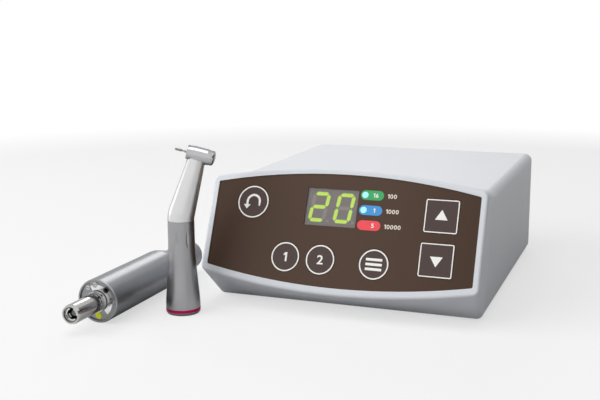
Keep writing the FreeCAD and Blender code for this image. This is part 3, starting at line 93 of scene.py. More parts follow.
# Where each lamp stands, what it aims at, and its width and height.
LAMPS = {
    "overhead": ((0.05, -0.35, 1.40), (0.0, 0.0, 0.0), (1.0, 1.0)),
    "key": ((-1.20, -1.00, 0.85), (-0.02, -0.02, 0.04), (2.0, 1.6)),
    "strip": ((-0.80, -0.10, 0.10), (-0.05, -0.08, 0.05), (0.08, 0.20)),
    "back": ((-0.75, 2.3, 1.45), (-0.05, -0.05, 0.05), (1.0, 0.6)),
}
CARD_PLACE, CARD_HEIGHT, CARD_LENGTH = (1.15, 0.0, 0.30), 0.8, 2.4


def linear(red, green, blue):
    """Screen colour, 0 to 255 a channel, as the linear colour that a shader takes."""
    levels = [level / 255.0 for level in (red, green, blue)]
    return tuple(level / 12.92 if level <= 0.04045 else ((level + 0.055) / 1.055) ** 2.4 for level in levels)


# Settings

def length(name, description, millimetres):
    return FloatProperty(name=name, description=description, default=millimetres * MM, min=0.0, unit="LENGTH",
                         precision=5)


def colour(name, description, red, green, blue):
    return FloatVectorProperty(name=name, description=description, default=linear(red, green, blue),
                               size=3, min=0.0, max=1.0, subtype="COLOR")


def angle(name, description, degrees):
    return FloatProperty(name=name, description=description, default=math.radians(degrees),
                         subtype="ANGLE", unit="ROTATION")


def power(name, description, watts):
    return FloatProperty(name=name, description=description, default=watts, min=0.0, unit="POWER")


class UnitColours(PropertyGroup):
    case: colour("Case", "Moulded front frame and top cover", 222, 225, 230)
    rear: colour("Rear panel", "Moulded rear panel", 176, 178, 182)
    base: colour("Base", "Moulded base plate", 148, 150, 154)
    panel: colour("Panel film", "Printed film of the control panel", 82, 64, 53)
    # Painted shade: the panel film's darker tone towards its left and right ends.
    panel_end_shade: colour("Panel film, sides", "Panel film towards its left and right ends", 68, 50, 39)
    key: colour("Key film", "Film of the keys, inside their outlines", 84, 70, 67)
    marks: colour("Marks", "Rings, outlines and symbols on the keys", 255, 251, 245)
    numbers: colour("Numbers", "Small numbers beside the ratio lenses", 246, 236, 224)
    display: colour("Display", "Face of the display behind its window", 138, 132, 130)
    lit_bar: colour("Lit bar", "Bars of the display that are lit", 188, 222, 88)
    dark_bar: colour("Dark bar", "Bars of the display that are not lit", 150, 145, 143)
    lens_green: colour("Upper lens", "Upper ratio lens", 38, 158, 88)
    lens_blue: colour("Middle lens", "Middle ratio lens", 52, 142, 208)
    lens_red: colour("Lower lens", "Lower ratio lens", 232, 62, 74)
    lens_lit: colour("Lit spot", "Lit spot in a ratio lens", 160, 232, 252)


class MetalColours(PropertyGroup):
    motor: colour("Motor", "Satin steel of the motor's barrel", 162, 164, 167)
    flange: colour("Flange", "Recessed plate at the motor's front", 150, 151, 152)
    # Painted highlight: the pads' light tone stands in for the light that they mirror.
    pad: colour("Pads", "Raised pads of the plate at the motor's front", 238, 239, 240)
    nose: colour("Nose", "Polished coupling nose", 214, 212, 210)
    dark: colour("Dark steel", "Ground steel of shafts, dog and base ring", 116, 116, 119)
    handle: colour("Handle", "Satin steel of the contra-angle's handle", 166, 166, 168)
    # Painted reflection: a far lighter tone than the handle's satin steel, standing in for light the neck
    # mirrors.
    neck: colour("Neck", "Satin steel of the contra-angle's neck", 220, 220, 221)
    head: colour("Head", "Polished head of the contra-angle", 190, 190, 193)
    ring: colour("Colour ring", "Anodised ring at the contra-angle's foot", 176, 26, 82)
    lamp: colour("Motor lamp", "Lamp in the motor's face", 196, 198, 28)
    screw: colour("Screws", "Plated steel of the screws", 190, 190, 190)
    bur: colour("Bur", "Hardened steel of the bur", 150, 150, 151)


class MarkSizes(PropertyGroup):
    pane: length("Pane", "Thickness of the clear pane over the display", 0.6)
    pane_corner: length("Pane corner", "Corner radius of the clear pane", 0.3)
    height: length("Mark height", "How far a mark stands off its key", 0.05)
    margin: length("Ring margin", "From a key's edge to its ring", 0.15)
    ring_line: length("Ring line", "Width of the rings on the round keys", 0.75)
    outline_line: length("Outline line", "Width of the outlines on the square keys", 0.6)
    outline_corner: length("Outline corner", "Corner radius of the outlines", 1.0)
    arrow_radius: length("Arrow radius", "Radius of the reverse arrow's bend", 3.8)
    arrow_line: length("Arrow line", "Width of the reverse arrow's line", 1.3)
    arrow_tail: length("Arrow tail", "Straight tail of the reverse arrow", 2.4)
    arrow_neck: length("Arrow neck", "Straight run to the reverse arrow's head", 1.9)
    arrow_head: length("Arrow head", "Length of the reverse arrow's head", 2.6)
    arrow_head_width: length("Arrow head width", "Width of the reverse arrow's head", 4.3)
    number_height: length("Key number height", "Height of the numbers on the memory keys", 5.2)
    bar_length: length("Bar length", "Length of the three bars on the select key", 9.4)
    bar_width: length("Bar width", "Width of the three bars on the select key", 1.45)
    bar_pitch: length("Bar pitch", "Distance between the three bars", 2.7)
    triangle_width: length("Triangle width", "Width of the speed keys' triangles", 7.0)
    triangle_height: length("Triangle height", "Height of the speed keys' triangles", 5.7)
    triangle_shift: length("Triangle shift", "From a key's middle to its triangle's", 0.8)
    small_number: length("Small number height", "Height of the numbers beside and in the lenses", 2.45)
    small_gap: length("Small number gap", "From a lens to the number beside it", 2.2)


class BurSizes(PropertyGroup):
    shank: length("Shank radius", "Radius of the bur's shank", 0.8)
    tail: length("Tail", "From the head's middle to the shank's inner end", 5.4)
    shoulder: length("Shoulder", "From the head's middle to the shank's shoulder", 7.2)
    taper: length("Taper", "Length of the shoulder", 0.8)
    neck: length("Neck radius", "Radius of the bur's neck", 0.5)
    cutter: length("Cutter radius", "Radius of the fluted cutter", 0.72)
    cutter_length: length("Cutter length", "Length of the fluted cutter", 4.2)
    cutter_taper: length("Cutter taper", "Length of the cutter's tapered ends", 0.5)
    reach: length("Reach", "From the head's middle to the bur's tip", 13.1)
    flute: length("Flute depth", "Depth of the cutter's flutes", 0.16)


class StudioSettings(PropertyGroup):
    camera_place: FloatVectorProperty(
        name="Camera", description="Where the camera stands", size=3, precision=4,
        default=(0.194898, -0.563133, 0.170480), subtype="TRANSLATION", unit="LENGTH")
    camera_turn: angle("Turn", "How far the camera is turned to the left", 20.818)
    camera_dip: angle("Dip", "How far the camera looks down", 11.132)
    camera_roll: angle("Roll", "How far the camera is rolled", -0.2956)
    camera_lens: FloatProperty(
        name="Lens", description="Focal length on a 36 mm sensor", default=58.967, unit="CAMERA")
    floor: colour("Floor", "Paper of the floor", 250, 250, 250)
    floor_glow: FloatProperty(
        name="Floor glow", description="Least share of white in the floor", default=0.6, min=0.0, max=1.0)
    ambient: FloatProperty(name="Ambient", description="Strength of the even light all round", default=0.25)
    overhead: power("Overhead lamp", "Power of the soft lamp overhead", 5.0)
    key: power("Key lamp", "Power of the soft lamp at the front left", 27.0)
    strip: power("Strip lamp", "Power of the narrow lamp at the left", 0.3)
    back: power("Back lamp", "Power of the soft lamp behind, out of view", 8.0)


# Nodes of a material, written as Python expressions

def arithmetic(operation, reflected=False):
    """Method that adds a Math node for a Python operator."""
    def apply(self, *others):
        return self.tree.math(operation, *((*others, self) if reflected else (self, *others)))
    return apply


class Socket:
    """An output in a node tree. Arithmetic on it adds Math nodes."""

    def __init__(self, tree, socket):
        self.tree, self.socket = tree, socket

    __add__ = __radd__ = arithmetic("ADD")
    __sub__, __rsub__ = arithmetic("SUBTRACT"), arithmetic("SUBTRACT", True)
    __mul__ = __rmul__ = arithmetic("MULTIPLY")
    __truediv__, __rtruediv__ = arithmetic("DIVIDE"), arithmetic("DIVIDE", True)
    __pow__, __abs__ = arithmetic("POWER"), arithmetic("ABSOLUTE")
    __gt__, __lt__ = arithmetic("GREATER_THAN"), arithmetic("LESS_THAN")
    __and__, __or__ = arithmetic("MINIMUM"), arithmetic("MAXIMUM")


class Tree:
    """A node tree that is being filled."""

    def __init__(self, tree):
        self.nodes, self.links = tree.nodes, tree.links
        self.nodes.clear()

    def add(self, kind, settings=None, inputs=None, output=0):
        """A node of a type: its settings come first, then the values or links of its sockets."""
        node = self.nodes.new("ShaderNode" + kind)
        for name, value in (settings or {}).items():
            setattr(node, name, value)
        self.feed(node, inputs or {})
        shown = [socket for socket in node.outputs if socket.enabled]
        return Socket(self, shown[output]) if shown else node

    def feed(self, node, inputs):
        shown = [socket for socket in node.inputs if socket.enabled]
        for name, value in inputs.items():
            socket = shown[name] if isinstance(name, int) else next(s for s in shown if s.name == name)
            if isinstance(value, Socket):
                self.links.new(value.socket, socket)
            elif socket.type == "RGBA" and len(value) == 3:
                socket.default_value = (*value, 1.0)
            else:
                socket.default_value = value

    def math(self, operation, *values):
        return self.add("Math", {"operation": operation}, dict(enumerate(values)))

    def blend(self, first, second, share):
        """Colour that goes from the first to the second as share goes from 0 to 1."""
        return self.add("Mix", {"data_type": "RGBA"}, {"Factor": share, "A": first, "B": second})

    def noise(self, place, size, detail=2.0):
        return self.add("TexNoise", {}, {"Vector": place, "Scale": 1.0 / size, "Detail": detail})

    def rays(self, *kinds):
        """1 for rays of these kinds, and 0 for the others."""
        outputs, flag = self.add("LightPath").socket.node.outputs, 0.0
        for kind in kinds:
            flag = Socket(self, outputs[f"Is {kind} Ray"]) | flag
        return flag

    def seen(self):
        """1 for rays from the camera, mirrors and glass, and 0 for the others."""
        return self.rays("Camera", "Glossy", "Transmission")


class Finish(Tree):
    """A procedural material with one Principled shader."""

    def __init__(self, name, **constants):
        self.material = bpy.data.materials.new(name)
        self.material.use_nodes = True
        super().__init__(self.material.node_tree)
        self.shader = self.add("BsdfPrincipled").socket.node
        self.add("OutputMaterial", {}, {"Surface": Socket(self, self.shader.outputs[0])})
        self.set(**{key.replace("_", " "): value for key, value in constants.items()})
        self.place = self.add("TexCoord", {}, {}, 3)

    def set(self, **values):
        self.feed(self.shader, values)

    def surface(self, tint, roughness, height=None, depth=0.0):
        """Sets the colour, the roughness and a bump of a real depth, and gives the material."""
        self.set(**{"Base Color": tint, "Roughness": roughness})
        if height is not None:
            self.set(Normal=self.add("Bump", {}, {"Distance": depth, "Height": height}))
        return self.material

    def glow(self, tint, strength):
        self.set(**{"Emission Color": tint, "Emission Strength": strength})

    def along(self, axis):
        """Distance along an axis."""
        return self.add("VectorMath", {"operation": "DOT_PRODUCT"}, {0: self.place, 1: axis})

    def grain(self, size, detail=2.0):
        return self.noise(self.place, size, detail)

    def painted_edge_shade(self, shade, tone, edge, turn):
        """Painted shade: the tint goes to a share of its tone where the surface turns away from the eye."""
        away = self.add("LayerWeight", {}, {"Blend": 0.5}, 1)
        return self.blend(shade, tuple(level * edge for level in tone), away ** turn)

    def from_motor_axis(self):
        """Distance from the motor's axis."""
        across, up = self.along(X_AXIS) - MOTOR_ORIGIN.x, self.along(Z_AXIS) - MOTOR_ORIGIN.z
        return (across * across + up * up) ** 0.5

    def panel_place(self, middle_x, middle_y):
        """Distances right and up along the panel from a point of it."""
        origin = PANEL @ Vector((middle_x, middle_y, 0.0))
        return [self.along(axis) - origin.dot(axis) for axis in (PANEL.col[0].to_3d(), PANEL.col[1].to_3d())]


def shades(tone, spread):
    """A colour made darker and lighter by a share."""
    return [tuple(min(1.0, level * factor) for level in tone) for factor in (1 - spread, 1 + spread)]


def moulded(name, tone, roughness=0.42, grain=0.5 * MM, depth=0.008 * MM, spread=0.02):
    """Moulded plastic: a fine spark-eroded grain and a faint cloud in the tone."""
    finish = Finish(name, Specular_IOR_Level=0.3)
    grains = finish.grain(grain, 3.0)
    tint = finish.blend(*shades(tone, spread), finish.grain(30 * MM))
    return finish.surface(tint, roughness + (grains - 0.5) * 0.12, grains, depth)


def rubber(name, tone):
    """Matt rubber with a coarse bloom."""
    finish = Finish(name)
    bloom = finish.grain(3 * MM, 4.0)
    tint = finish.blend(*shades(tone, 0.25), bloom)
    return finish.surface(tint, 0.75 + (bloom - 0.5) * 0.2, finish.grain(0.4 * MM), 0.02 * MM)


def satin(name, tone, roughness=0.3, edge=0.45, turn=3.0):
    """Finely blasted steel, with painted shade where its surface turns away from the eye."""
    finish = Finish(name, Metallic=1.0)
    grains, cloud = finish.grain(0.22 * MM), finish.grain(12 * MM, 3.0)
    shade = finish.blend(*shades(tone, 0.03), cloud * 0.7 + grains * 0.3)
    return finish.surface(finish.painted_edge_shade(shade, tone, edge, turn),
                          roughness + (grains - 0.5) * 0.10 + (cloud - 0.5) * 0.05, grains, 0.001 * MM)


def turned(name, tone, axis, roughness=0.3):
    """Metal turned on a lathe: fine rings round its axis, and a faint cloud from handling."""
    finish = Finish(name, Metallic=1.0)
    rings = finish.add("TexNoise", {"noise_dimensions": "1D"},
                       {"W": finish.along(axis) / (0.3 * MM), "Scale": 1.0, "Detail": 3.0})
    cloud = finish.grain(14 * MM, 3.0)
    tint = finish.blend(*shades(tone, 0.05), rings * 0.6 + cloud * 0.4)
    return finish.surface(tint, roughness + (rings - 0.5) * 0.10 + (cloud - 0.5) * 0.08, rings, 0.0015 * MM)


def polished(name, tone, roughness, edge, turn):
    """Polished metal with hairline scratches from use, and painted shade where it turns away from the eye."""
    finish = Finish(name, Metallic=1.0)
    scratches = finish.grain(0.8 * MM, 5.0)
    shade = finish.blend(*shades(tone, 0.03), finish.grain(6 * MM))
    return finish.surface(finish.painted_edge_shade(shade, tone, edge, turn),
                          roughness + (scratches - 0.5) * 0.05, scratches, 0.0008 * MM)


def cast(name, tone, roughness):
    """Milled or cast metal with an even, fine roughness."""
    finish = Finish(name, Metallic=1.0)
    grains = finish.grain(0.6 * MM, 4.0)
    tint = finish.blend(*shades(tone, 0.1), grains)
    return finish.surface(tint, roughness + (grains - 0.5) * 0.15, grains, 0.01 * MM)


def clear(name, tone, alpha):
    """Clear plastic or glass over what lies behind it, with faint wipe marks."""
    finish = Finish(name, Alpha=alpha)
    wipes = finish.grain(9 * MM)
    return finish.surface(finish.blend(*shades(tone, 0.04), wipes), 0.12 + wipes * 0.06)


def printed(name, tone):
    """Opaque screen-printed ink."""
    finish = Finish(name)
    mesh = finish.grain(0.35 * MM)
    return finish.surface(finish.blend(*shades(tone, 0.03), mesh), 0.4 + (mesh - 0.5) * 0.1, mesh, 0.003 * MM)


def film(name, tone, shaded_end_tone=None):
    """Satin polyester film over the printed panel or a key, with painted shade towards its ends."""
    finish = Finish(name, Specular_IOR_Level=0.2)
    share = finish.panel_place(0.0, 0.0)[0] / (78 * MM)
    # Painted shade: the film darkens towards both ends of the panel.
    edge = share * share * 0.85 + finish.grain(40 * MM, 1.0) * 0.15
    tint = finish.blend(tone, shaded_end_tone or shades(tone, 0.12)[0], edge)
    peel = finish.grain(0.7 * MM)
    return finish.surface(tint, 0.45 + (peel - 0.5) * 0.08, peel, 0.002 * MM)


def panel_fronts(node, rows=1):
    """Left, right, low and high edge and height of a node's front faces on the panel, row by row."""
    back = PANEL.inverted()
    points = [back @ vertex.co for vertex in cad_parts[node].data.vertices]
    height = max(point.z for point in points)
    face = [point for point in points if point.z > height - 0.01 * MM]
    top = max(point.y for point in face)
    step = (top - min(point.y for point in face)) / rows * 1.0001
    fronts = []
    for row in range(rows):
        part = [point for point in face if int((top - point.y) / step) == row]
        across, up = [point.x for point in part], [point.y for point in part]
        fronts.append((min(across), max(across), min(up), max(up), height))
    return fronts


def bars(name, tones):
    """Bars of the two-digit display, the ones that are lit bright and the others faint."""
    left, right, low, high, _ = panel_fronts("display_window")[0]
    finish = Finish(name)
    wide, tall = (DIGIT_WIDTH - BAR_WIDTH) / 2, (DIGIT_HEIGHT - BAR_WIDTH) / 2
    across, up = finish.panel_place((left + right) / 2, (low + high) / 2)
    across = across - up * math.tan(DIGIT_SLANT)

    def upright(digit, side, half):
        """Where an upright bar of a digit is: side -1 is its left, half 1 its upper."""
        from_middle = abs(across - (digit * DIGIT_PITCH / 2 + side * wide))
        ends = (up * half) & (tall - up * half)
        return (ends - from_middle) > 0.0

    # The bars that the number 20 leaves dark, and the two points.
    middle = ((wide - abs(across - DIGIT_PITCH / 2)) - abs(up)) > 0.0
    dark = upright(-1, -1, 1) | upright(-1, 1, -1) | middle
    for digit in (-1, 1):
        point_x = digit * DIGIT_PITCH / 2 + DIGIT_WIDTH / 2 + BAR_WIDTH * 0.2
        dark = dark | ((across > point_x) & (across < point_x + POINT_WIDTH) & (up < -tall * 0.9))
    lit = 1.0 - dark
    bright = finish.blend(*shades(tones.lit_bar, 0.04), finish.grain(2.5 * MM))
    finish.glow(finish.blend((0, 0, 0), tones.lit_bar, lit), 0.35)
    return finish.surface(finish.blend(tones.dark_bar, bright, lit), 0.45)


def lenses(name, tones):
    """Three coloured lenses in one row each, the upper two with a lit spot at their left end."""
    fronts = panel_fronts("ratio_lenses", 3)
    finish = Finish(name, Coat_Weight=0.4)
    across, up = finish.panel_place(0.0, 0.0)
    steps = [(fronts[row][2] + fronts[row + 1][3]) / 2 for row in (0, 1)]
    ink = finish.blend(tones.lens_red, tones.lens_blue, up > steps[1])
    ink = finish.blend(ink, tones.lens_green, up > steps[0])
    spot = 0.0
    for left, right, low, high, _ in fronts[:2]:
        radius = (high - low) * SPOT_RADIUS
        side, rise = across - (left + (high - low) * SPOT_INSET), up - (low + high) / 2
        distance = (side * side + rise * rise) ** 0.5
        spot = (radius - distance) / SPOT_RIM | spot
    spot = spot & 1.0
    frost = finish.grain(1.2 * MM)
    finish.glow(finish.blend(finish.blend(ink, (0, 0, 0), 0.6), tones.lens_lit, spot), 0.35)
    return finish.surface(finish.blend(ink, tones.lens_lit, spot), 0.3 + (frost - 0.5) * 0.1)


def milled_face(name, tone, pad_highlight_tone, level):
    """Milled plate across the motor's axis, with polished raised pads and a painted highlight on them."""
    finish = Finish(name, Metallic=1.0)
    grains = finish.grain(1.5 * MM, 4.0)
    pad = MOTOR_ORIGIN.y - finish.along(Y_AXIS) > level
    # Painted highlight: the pads take a far lighter tone than the plate; their lower roughness is real
    # polish.
    tint = finish.blend(finish.blend(*shades(tone, 0.06), grains), pad_highlight_tone, pad)
    return finish.surface(tint, 0.32 - pad * 0.14 + (grains - 0.5) * 0.1, grains, 0.004 * MM)


def dog_steel(name, tone, hollow_shade_tone, hollow):
    """Bright claws round a hollow that is dark with painted shade."""
    finish = Finish(name, Metallic=1.0)
    grains = finish.grain(0.5 * MM, 3.0)
    claws = finish.from_motor_axis() > hollow
    tint = finish.blend(hollow_shade_tone, finish.blend(*shades(tone, 0.05), grains), claws)
    return finish.surface(tint, 0.22 + (grains - 0.5) * 0.1, grains, 0.002 * MM)


def laminated(name, tone, axis):
    """Stack of thin iron sheets across an axis."""
    finish = Finish(name, Metallic=1.0)
    sheets = finish.math("FRACT", finish.along(axis) / (0.5 * MM))
    return finish.surface(finish.blend(*shades(tone, 0.3), sheets), 0.5 + sheets * 0.15, sheets, 0.03 * MM)


def wound(name, tone, axis):
    """Enamelled wire laid side by side."""
    finish = Finish(name, Metallic=0.9, Coat_Weight=0.5)
    turns = finish.math("SINE", finish.along(axis) / (0.4 * MM) * (2 * math.pi))
    tint = finish.blend(*shades(tone, 0.25), turns * 0.5 + 0.5)
    return finish.surface(tint, 0.35 + turns * 0.05, turns, 0.05 * MM)


def board(name, tone):
    """Lacquered circuit board with faint tracks."""
    finish = Finish(name, Coat_Weight=0.5)
    tracks = finish.add("TexBrick", {}, {"Vector": finish.place, "Scale": 180.0, "Mortar Size": 0.06}, 1)
    tint = finish.blend(shades(tone, 0.3)[1], shades(tone, 0.2)[0], tracks)
    return finish.surface(tint, 0.3 + tracks * 0.1, tracks, 0.02 * MM)


def glowing(name, tone):
    """Frosted lamp that glows a little."""
    finish = Finish(name)
    tint = finish.blend(*shades(tone, 0.08), finish.grain(1.5 * MM))
    finish.glow(tint, 0.15)
    return finish.surface(tint, 0.35)


def paint(finish, *nodes):
    """Gives a finish to CAD nodes."""
    for name in nodes:
        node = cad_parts[name]
        node.data.materials.clear()
        node.data.materials.append(finish)


# Shaping of new pieces

def deselect():
    bpy.ops.object.select_all(action="DESELECT")


def choose(obj):
    deselect()
    obj.select_set(True)
    bpy.context.view_layer.objects.active = obj


class Shaping:
    """Edit mode on one object, with its faces and edges picked by a test."""

    def __init__(self, obj):
        self.obj = obj

    def __enter__(self):
        choose(self.obj)
        bpy.ops.object.mode_set(mode="EDIT")
        return self

    def __exit__(self, *problem):
        bpy.ops.object.mode_set(mode="OBJECT")

    def pick(self, kind, test):
        bpy.ops.mesh.select_mode(type=kind)
        bpy.ops.mesh.select_all(action="DESELECT")
        mesh = bmesh.from_edit_mesh(self.obj.data)
        parts = {"VERT": mesh.verts, "EDGE": mesh.edges, "FACE": mesh.faces}[kind]
        chosen = [part for part in parts if test(part)]
        if not chosen:
            raise RuntimeError(f"nothing to pick on {self.obj.name}")
        for part in chosen:
            part.select_set(True)
        bmesh.update_edit_mesh(self.obj.data)

    def faces(self, test):
        """Picks the faces whose middle and normal pass a test."""
        self.pick("FACE", lambda face: test(face.calc_center_median(), face.normal))

    def edges(self, test):
        """Picks the edges whose two ends pass a test."""
        self.pick("EDGE", lambda edge: test(*(vertex.co for vertex in edge.verts)))

    def points(self, test):
        self.pick("VERT", lambda vertex: test(vertex.co))

    def everything(self):
        bpy.ops.mesh.select_mode(type="VERT")
        bpy.ops.mesh.select_all(action="SELECT")

    def resize(self, across, up, out, middle=(0.0, 0.0, 0.0)):
        bpy.ops.transform.resize(value=(across, up, out), center_override=middle)

    def move(self, across, up, out):
        bpy.ops.transform.translate(value=(across, up, out))

    def extrude(self, across, up, out):
        bpy.ops.mesh.extrude_region_move(TRANSFORM_OT_translate={"value": (across, up, out)})

    def tidy(self):
        """Joins doubles and turns every face outwards."""
        self.everything()
        bpy.ops.mesh.remove_doubles(threshold=0.0005 * MM)
        bpy.ops.mesh.normals_make_consistent(inside=False)


def named(name):
    """The object that was just added, under its name."""
    obj = bpy.context.object
    obj.name = obj.data.name = name
    return obj


def seat(obj, place=None):
    """Puts a piece in its place, or leaves it where it was added, with the place inside its mesh."""
    choose(obj)
    if place is not None:
        obj.matrix_world = place
    bpy.ops.object.transform_apply(location=True, rotation=True, scale=True)


def upright_edge(first, second):
    return abs(first.x - second.x) + abs(first.y - second.y) < HAIR


def hollow_out(obj, line):
    """Leaves only a line of a flat block, as wide as asked, along its edge."""
    with Shaping(obj) as work:
        work.faces(lambda middle, normal: abs(normal.z) > 0.9)
        bpy.ops.mesh.inset(thickness=line)
        bpy.ops.mesh.bridge_edge_loops()
        work.tidy()


def ring(name, radius, line, height):
    deselect()
    middle = (0, 0, height / 2)
    bpy.ops.mesh.primitive_cylinder_add(vertices=RING_SIDES, radius=radius, depth=height, location=middle)
    obj = named(name)
    seat(obj)
    hollow_out(obj, line)
    return obj


def block(name, across, up, height, corner):
    """Flat block with rounded corners, its underside at the origin."""
    deselect()
    bpy.ops.mesh.primitive_cube_add(size=1.0)
    obj = named(name)
    with Shaping(obj) as work:
        work.everything()
        work.resize(across, up, height)
        work.move(0, 0, height / 2)
        work.edges(upright_edge)
        bpy.ops.mesh.bevel(offset=corner, segments=6, affect="EDGES")
        work.tidy()
    return obj


def shifted(obj, across, up, out, wide=1.0, tall=1.0):
    """Scales a piece that lies at the origin, inside its mesh, and then shifts it."""
    with Shaping(obj) as work:
        work.everything()
        work.resize(wide, tall, 1.0)
        work.move(across, up, out)
        work.tidy()


def mesh_corners(obj):
    """Low and high corner of a piece's mesh."""
    points = [vertex.co for vertex in obj.data.vertices]
    return [Vector([pick(point[axis] for point in points) for axis in range(3)]) for pick in (min, max)]


def thicken(obj, height):
    """Turns a flat shape that lies at the origin into a raised one."""
    choose(obj)
    solid = obj.modifiers.new("thickness", "SOLIDIFY")
    solid.thickness = height
    solid.offset = math.copysign(1.0, obj.data.polygons[0].normal.z)
    bpy.ops.object.modifier_apply(modifier=solid.name)
    with Shaping(obj) as work:
        work.tidy()


def figure_one(height, line, thickness):
    """The figure 1: an upright with a flag at its top left."""
    deselect()
    bpy.ops.mesh.primitive_plane_add(size=line, location=(0, line / 2, 0))
    obj = named("figure_1")
    seat(obj)
    branch = 0.7 * height
    with Shaping(obj) as work:
        work.points(lambda point: point.y > line / 2)
        work.move(0, branch - line, 0)
        work.edges(lambda first, second: min(first.y, second.y) > branch - HAIR)
        work.extrude(0, height - branch, 0)
        work.edges(lambda first, second: max(first.x, second.x) < 0
                   and min(first.y, second.y) > branch - HAIR)
        work.extrude(-0.2 * height, -0.1 * height, 0)
        work.resize(1.0, 0.55, 1.0, (0, 0.75 * height, 0))
        work.tidy()
    thicken(obj, thickness)
    return obj


def figure(character, height, thickness, bold):
    """One raised figure."""
    if character == "1":
        return figure_one(height, 0.16 * height + bold, thickness)
    deselect()
    bpy.ops.object.text_add()
    obj = bpy.context.object
    obj.data.body = character
    obj.data.size = height / FIGURE_SHARE
    obj.data.offset = bold / 2
    obj.data.extrude = thickness / 2
    obj.data.resolution_u = 4
    choose(obj)
    bpy.ops.object.convert(target="MESH")
    obj = named("figure_" + character)
    low, high = mesh_corners(obj)
    scale = height / (high.y - low.y)
    shifted(obj, 0, -low.y * scale, -low.z, scale * FIGURE_STRETCH, scale)
    return obj


def number(name, text, height, thickness, bold):
    """A raised plain number, its middle at the origin."""
    figures, place = [], 0.0
    for character in text:
        obj = figure(character, height, thickness, bold)
        low, high = mesh_corners(obj)
        shifted(obj, place - low.x, -height / 2, 0)
        figures.append(obj)
        place += high.x - low.x + 0.14 * height
    deselect()
    for obj in figures:
        obj.select_set(True)
    bpy.context.view_layer.objects.active = figures[0]
    if len(figures) > 1:
        bpy.ops.object.join()
    obj = named(name)
    low, high = mesh_corners(obj)
    shifted(obj, -(low.x + high.x) / 2, 0, 0)
    return obj


def finish_piece(obj, body, finish, place):
    """Seats a piece, gives it its finish and lets it ride."""
    seat(obj, place)
    obj.data.materials.clear()
    obj.data.materials.append(finish)
    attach(obj, body)


def ink(name, tone):
    """The ink of a name, made once."""
    return bpy.data.materials.get(name) or printed(name, tone)


def print_on(key, obj, right=0.0, up=0.0, turn=0.0):
    """Prints a shape on a key, so far from the middle of its face, and lets it ride on the key."""
    left, far, low, high, height = panel_fronts(key)[0]
    place = PANEL @ Matrix.Translation(((left + far) / 2 + right, (low + high) / 2 + up, height))
    finish_piece(obj, key, ink("mark ink", bpy.context.scene.unit_colours.marks),
                 place @ Matrix.Rotation(turn, 4, "Z"))


# Operators

class DressControlUnit(Operator):
    """Give the control unit's parts their plastics, films, glass and metals"""
    bl_idname = "micromotor.dress_control_unit"
    bl_label = "Dress control unit"

    def execute(self, context):
        tones, metals = context.scene.unit_colours, context.scene.metal_colours
        paint(moulded("case plastic", tones.case), "front_frame", "top_cover")
        paint(moulded("rear plastic", tones.rear, 0.5), "rear_panel")
        paint(moulded("base plastic", tones.base, 0.55, 0.8 * MM, 0.02 * MM), "base_plate")
        paint(rubber("foot rubber", linear(44, 44, 45)), "rubber_feet")
        paint(turned("plated steel", metals.screw, Z_AXIS, 0.28), "housing_screws", "board_screws")
        # The films get painted shade towards their ends.
        paint(film("panel film", tones.panel, tones.panel_end_shade), "face_panel")
        paint(film("key film", tones.key), *ROUND_KEYS, *SPEED_KEYS)
        paint(moulded("display face", tones.display, 0.6, 0.4 * MM, 0.004 * MM, 0.03), "display_module")
        paint(bars("display bars", tones), "display_segments")
        paint(lenses("ratio lenses", tones), "ratio_lenses")
        paint(clear("lamp plastic", linear(225, 240, 245), 0.6), "indicator_lamps")
        paint(board("board lacquer", linear(24, 112, 66)), "key_board", "main_board")
        paint(moulded("black plastic", linear(40, 40, 42), 0.5), "tact_switches", "board_parts",
              "power_switch_frame")
        paint(moulded("gloss black", linear(30, 30, 32), 0.18, 1.5 * MM, 0.002 * MM), "power_rocker")
        paint(cast("aluminium", linear(205, 206, 208), 0.38), "filter_capacitors", "heat_sink",
              "air_water_manifold")
        paint(moulded("cable sheath", linear(150, 152, 156), 0.6), "panel_cable")
        paint(turned("socket metal", linear(214, 214, 216), Y_AXIS, 0.18), "motor_hose_socket",
              "unit_hose_inlet", "power_jack")
        return {"FINISHED"}


class DressMotor(Operator):
    """Give the motor handpiece's parts their metals"""
    bl_idname = "micromotor.dress_motor"
    bl_label = "Dress motor"

    def execute(self, context):
        metals = context.scene.metal_colours
        paint(satin("motor steel", metals.motor, 0.33, 0.3, 1.0), "motor_shell")
        paint(milled_face("flange steel", metals.flange, metals.pad, -0.95 * MM), "front_flange")
        paint(polished("nose steel", metals.nose, 0.13, 0.2, 1.0), "coupling_nose")
        # Painted shade: the dark tone of the drive dog's hollow.
        paint(dog_steel("claw steel", metals.nose, linear(10, 40, 34), 2.72 * MM), "drive_dog")
        paint(turned("motor dark steel", metals.dark, Y_AXIS, 0.3), "rotor")
        paint(turned("bearing steel", linear(200, 200, 202), Y_AXIS, 0.12), "motor_bearings")
        paint(laminated("core iron", linear(112, 112, 114), Y_AXIS), "stator_core")
        paint(wound("winding copper", linear(196, 116, 66), Y_AXIS), "stator_windings")
        paint(rubber("seal rubber", linear(62, 63, 65)), "motor_seals")
        paint(turned("face screw steel", metals.screw, Y_AXIS, 0.2), "face_screws")
        paint(moulded("insert plastic", linear(44, 44, 46), 0.5), "hose_insert")
        paint(glowing("motor lamp", metals.lamp), "motor_lamp")
        return {"FINISHED"}


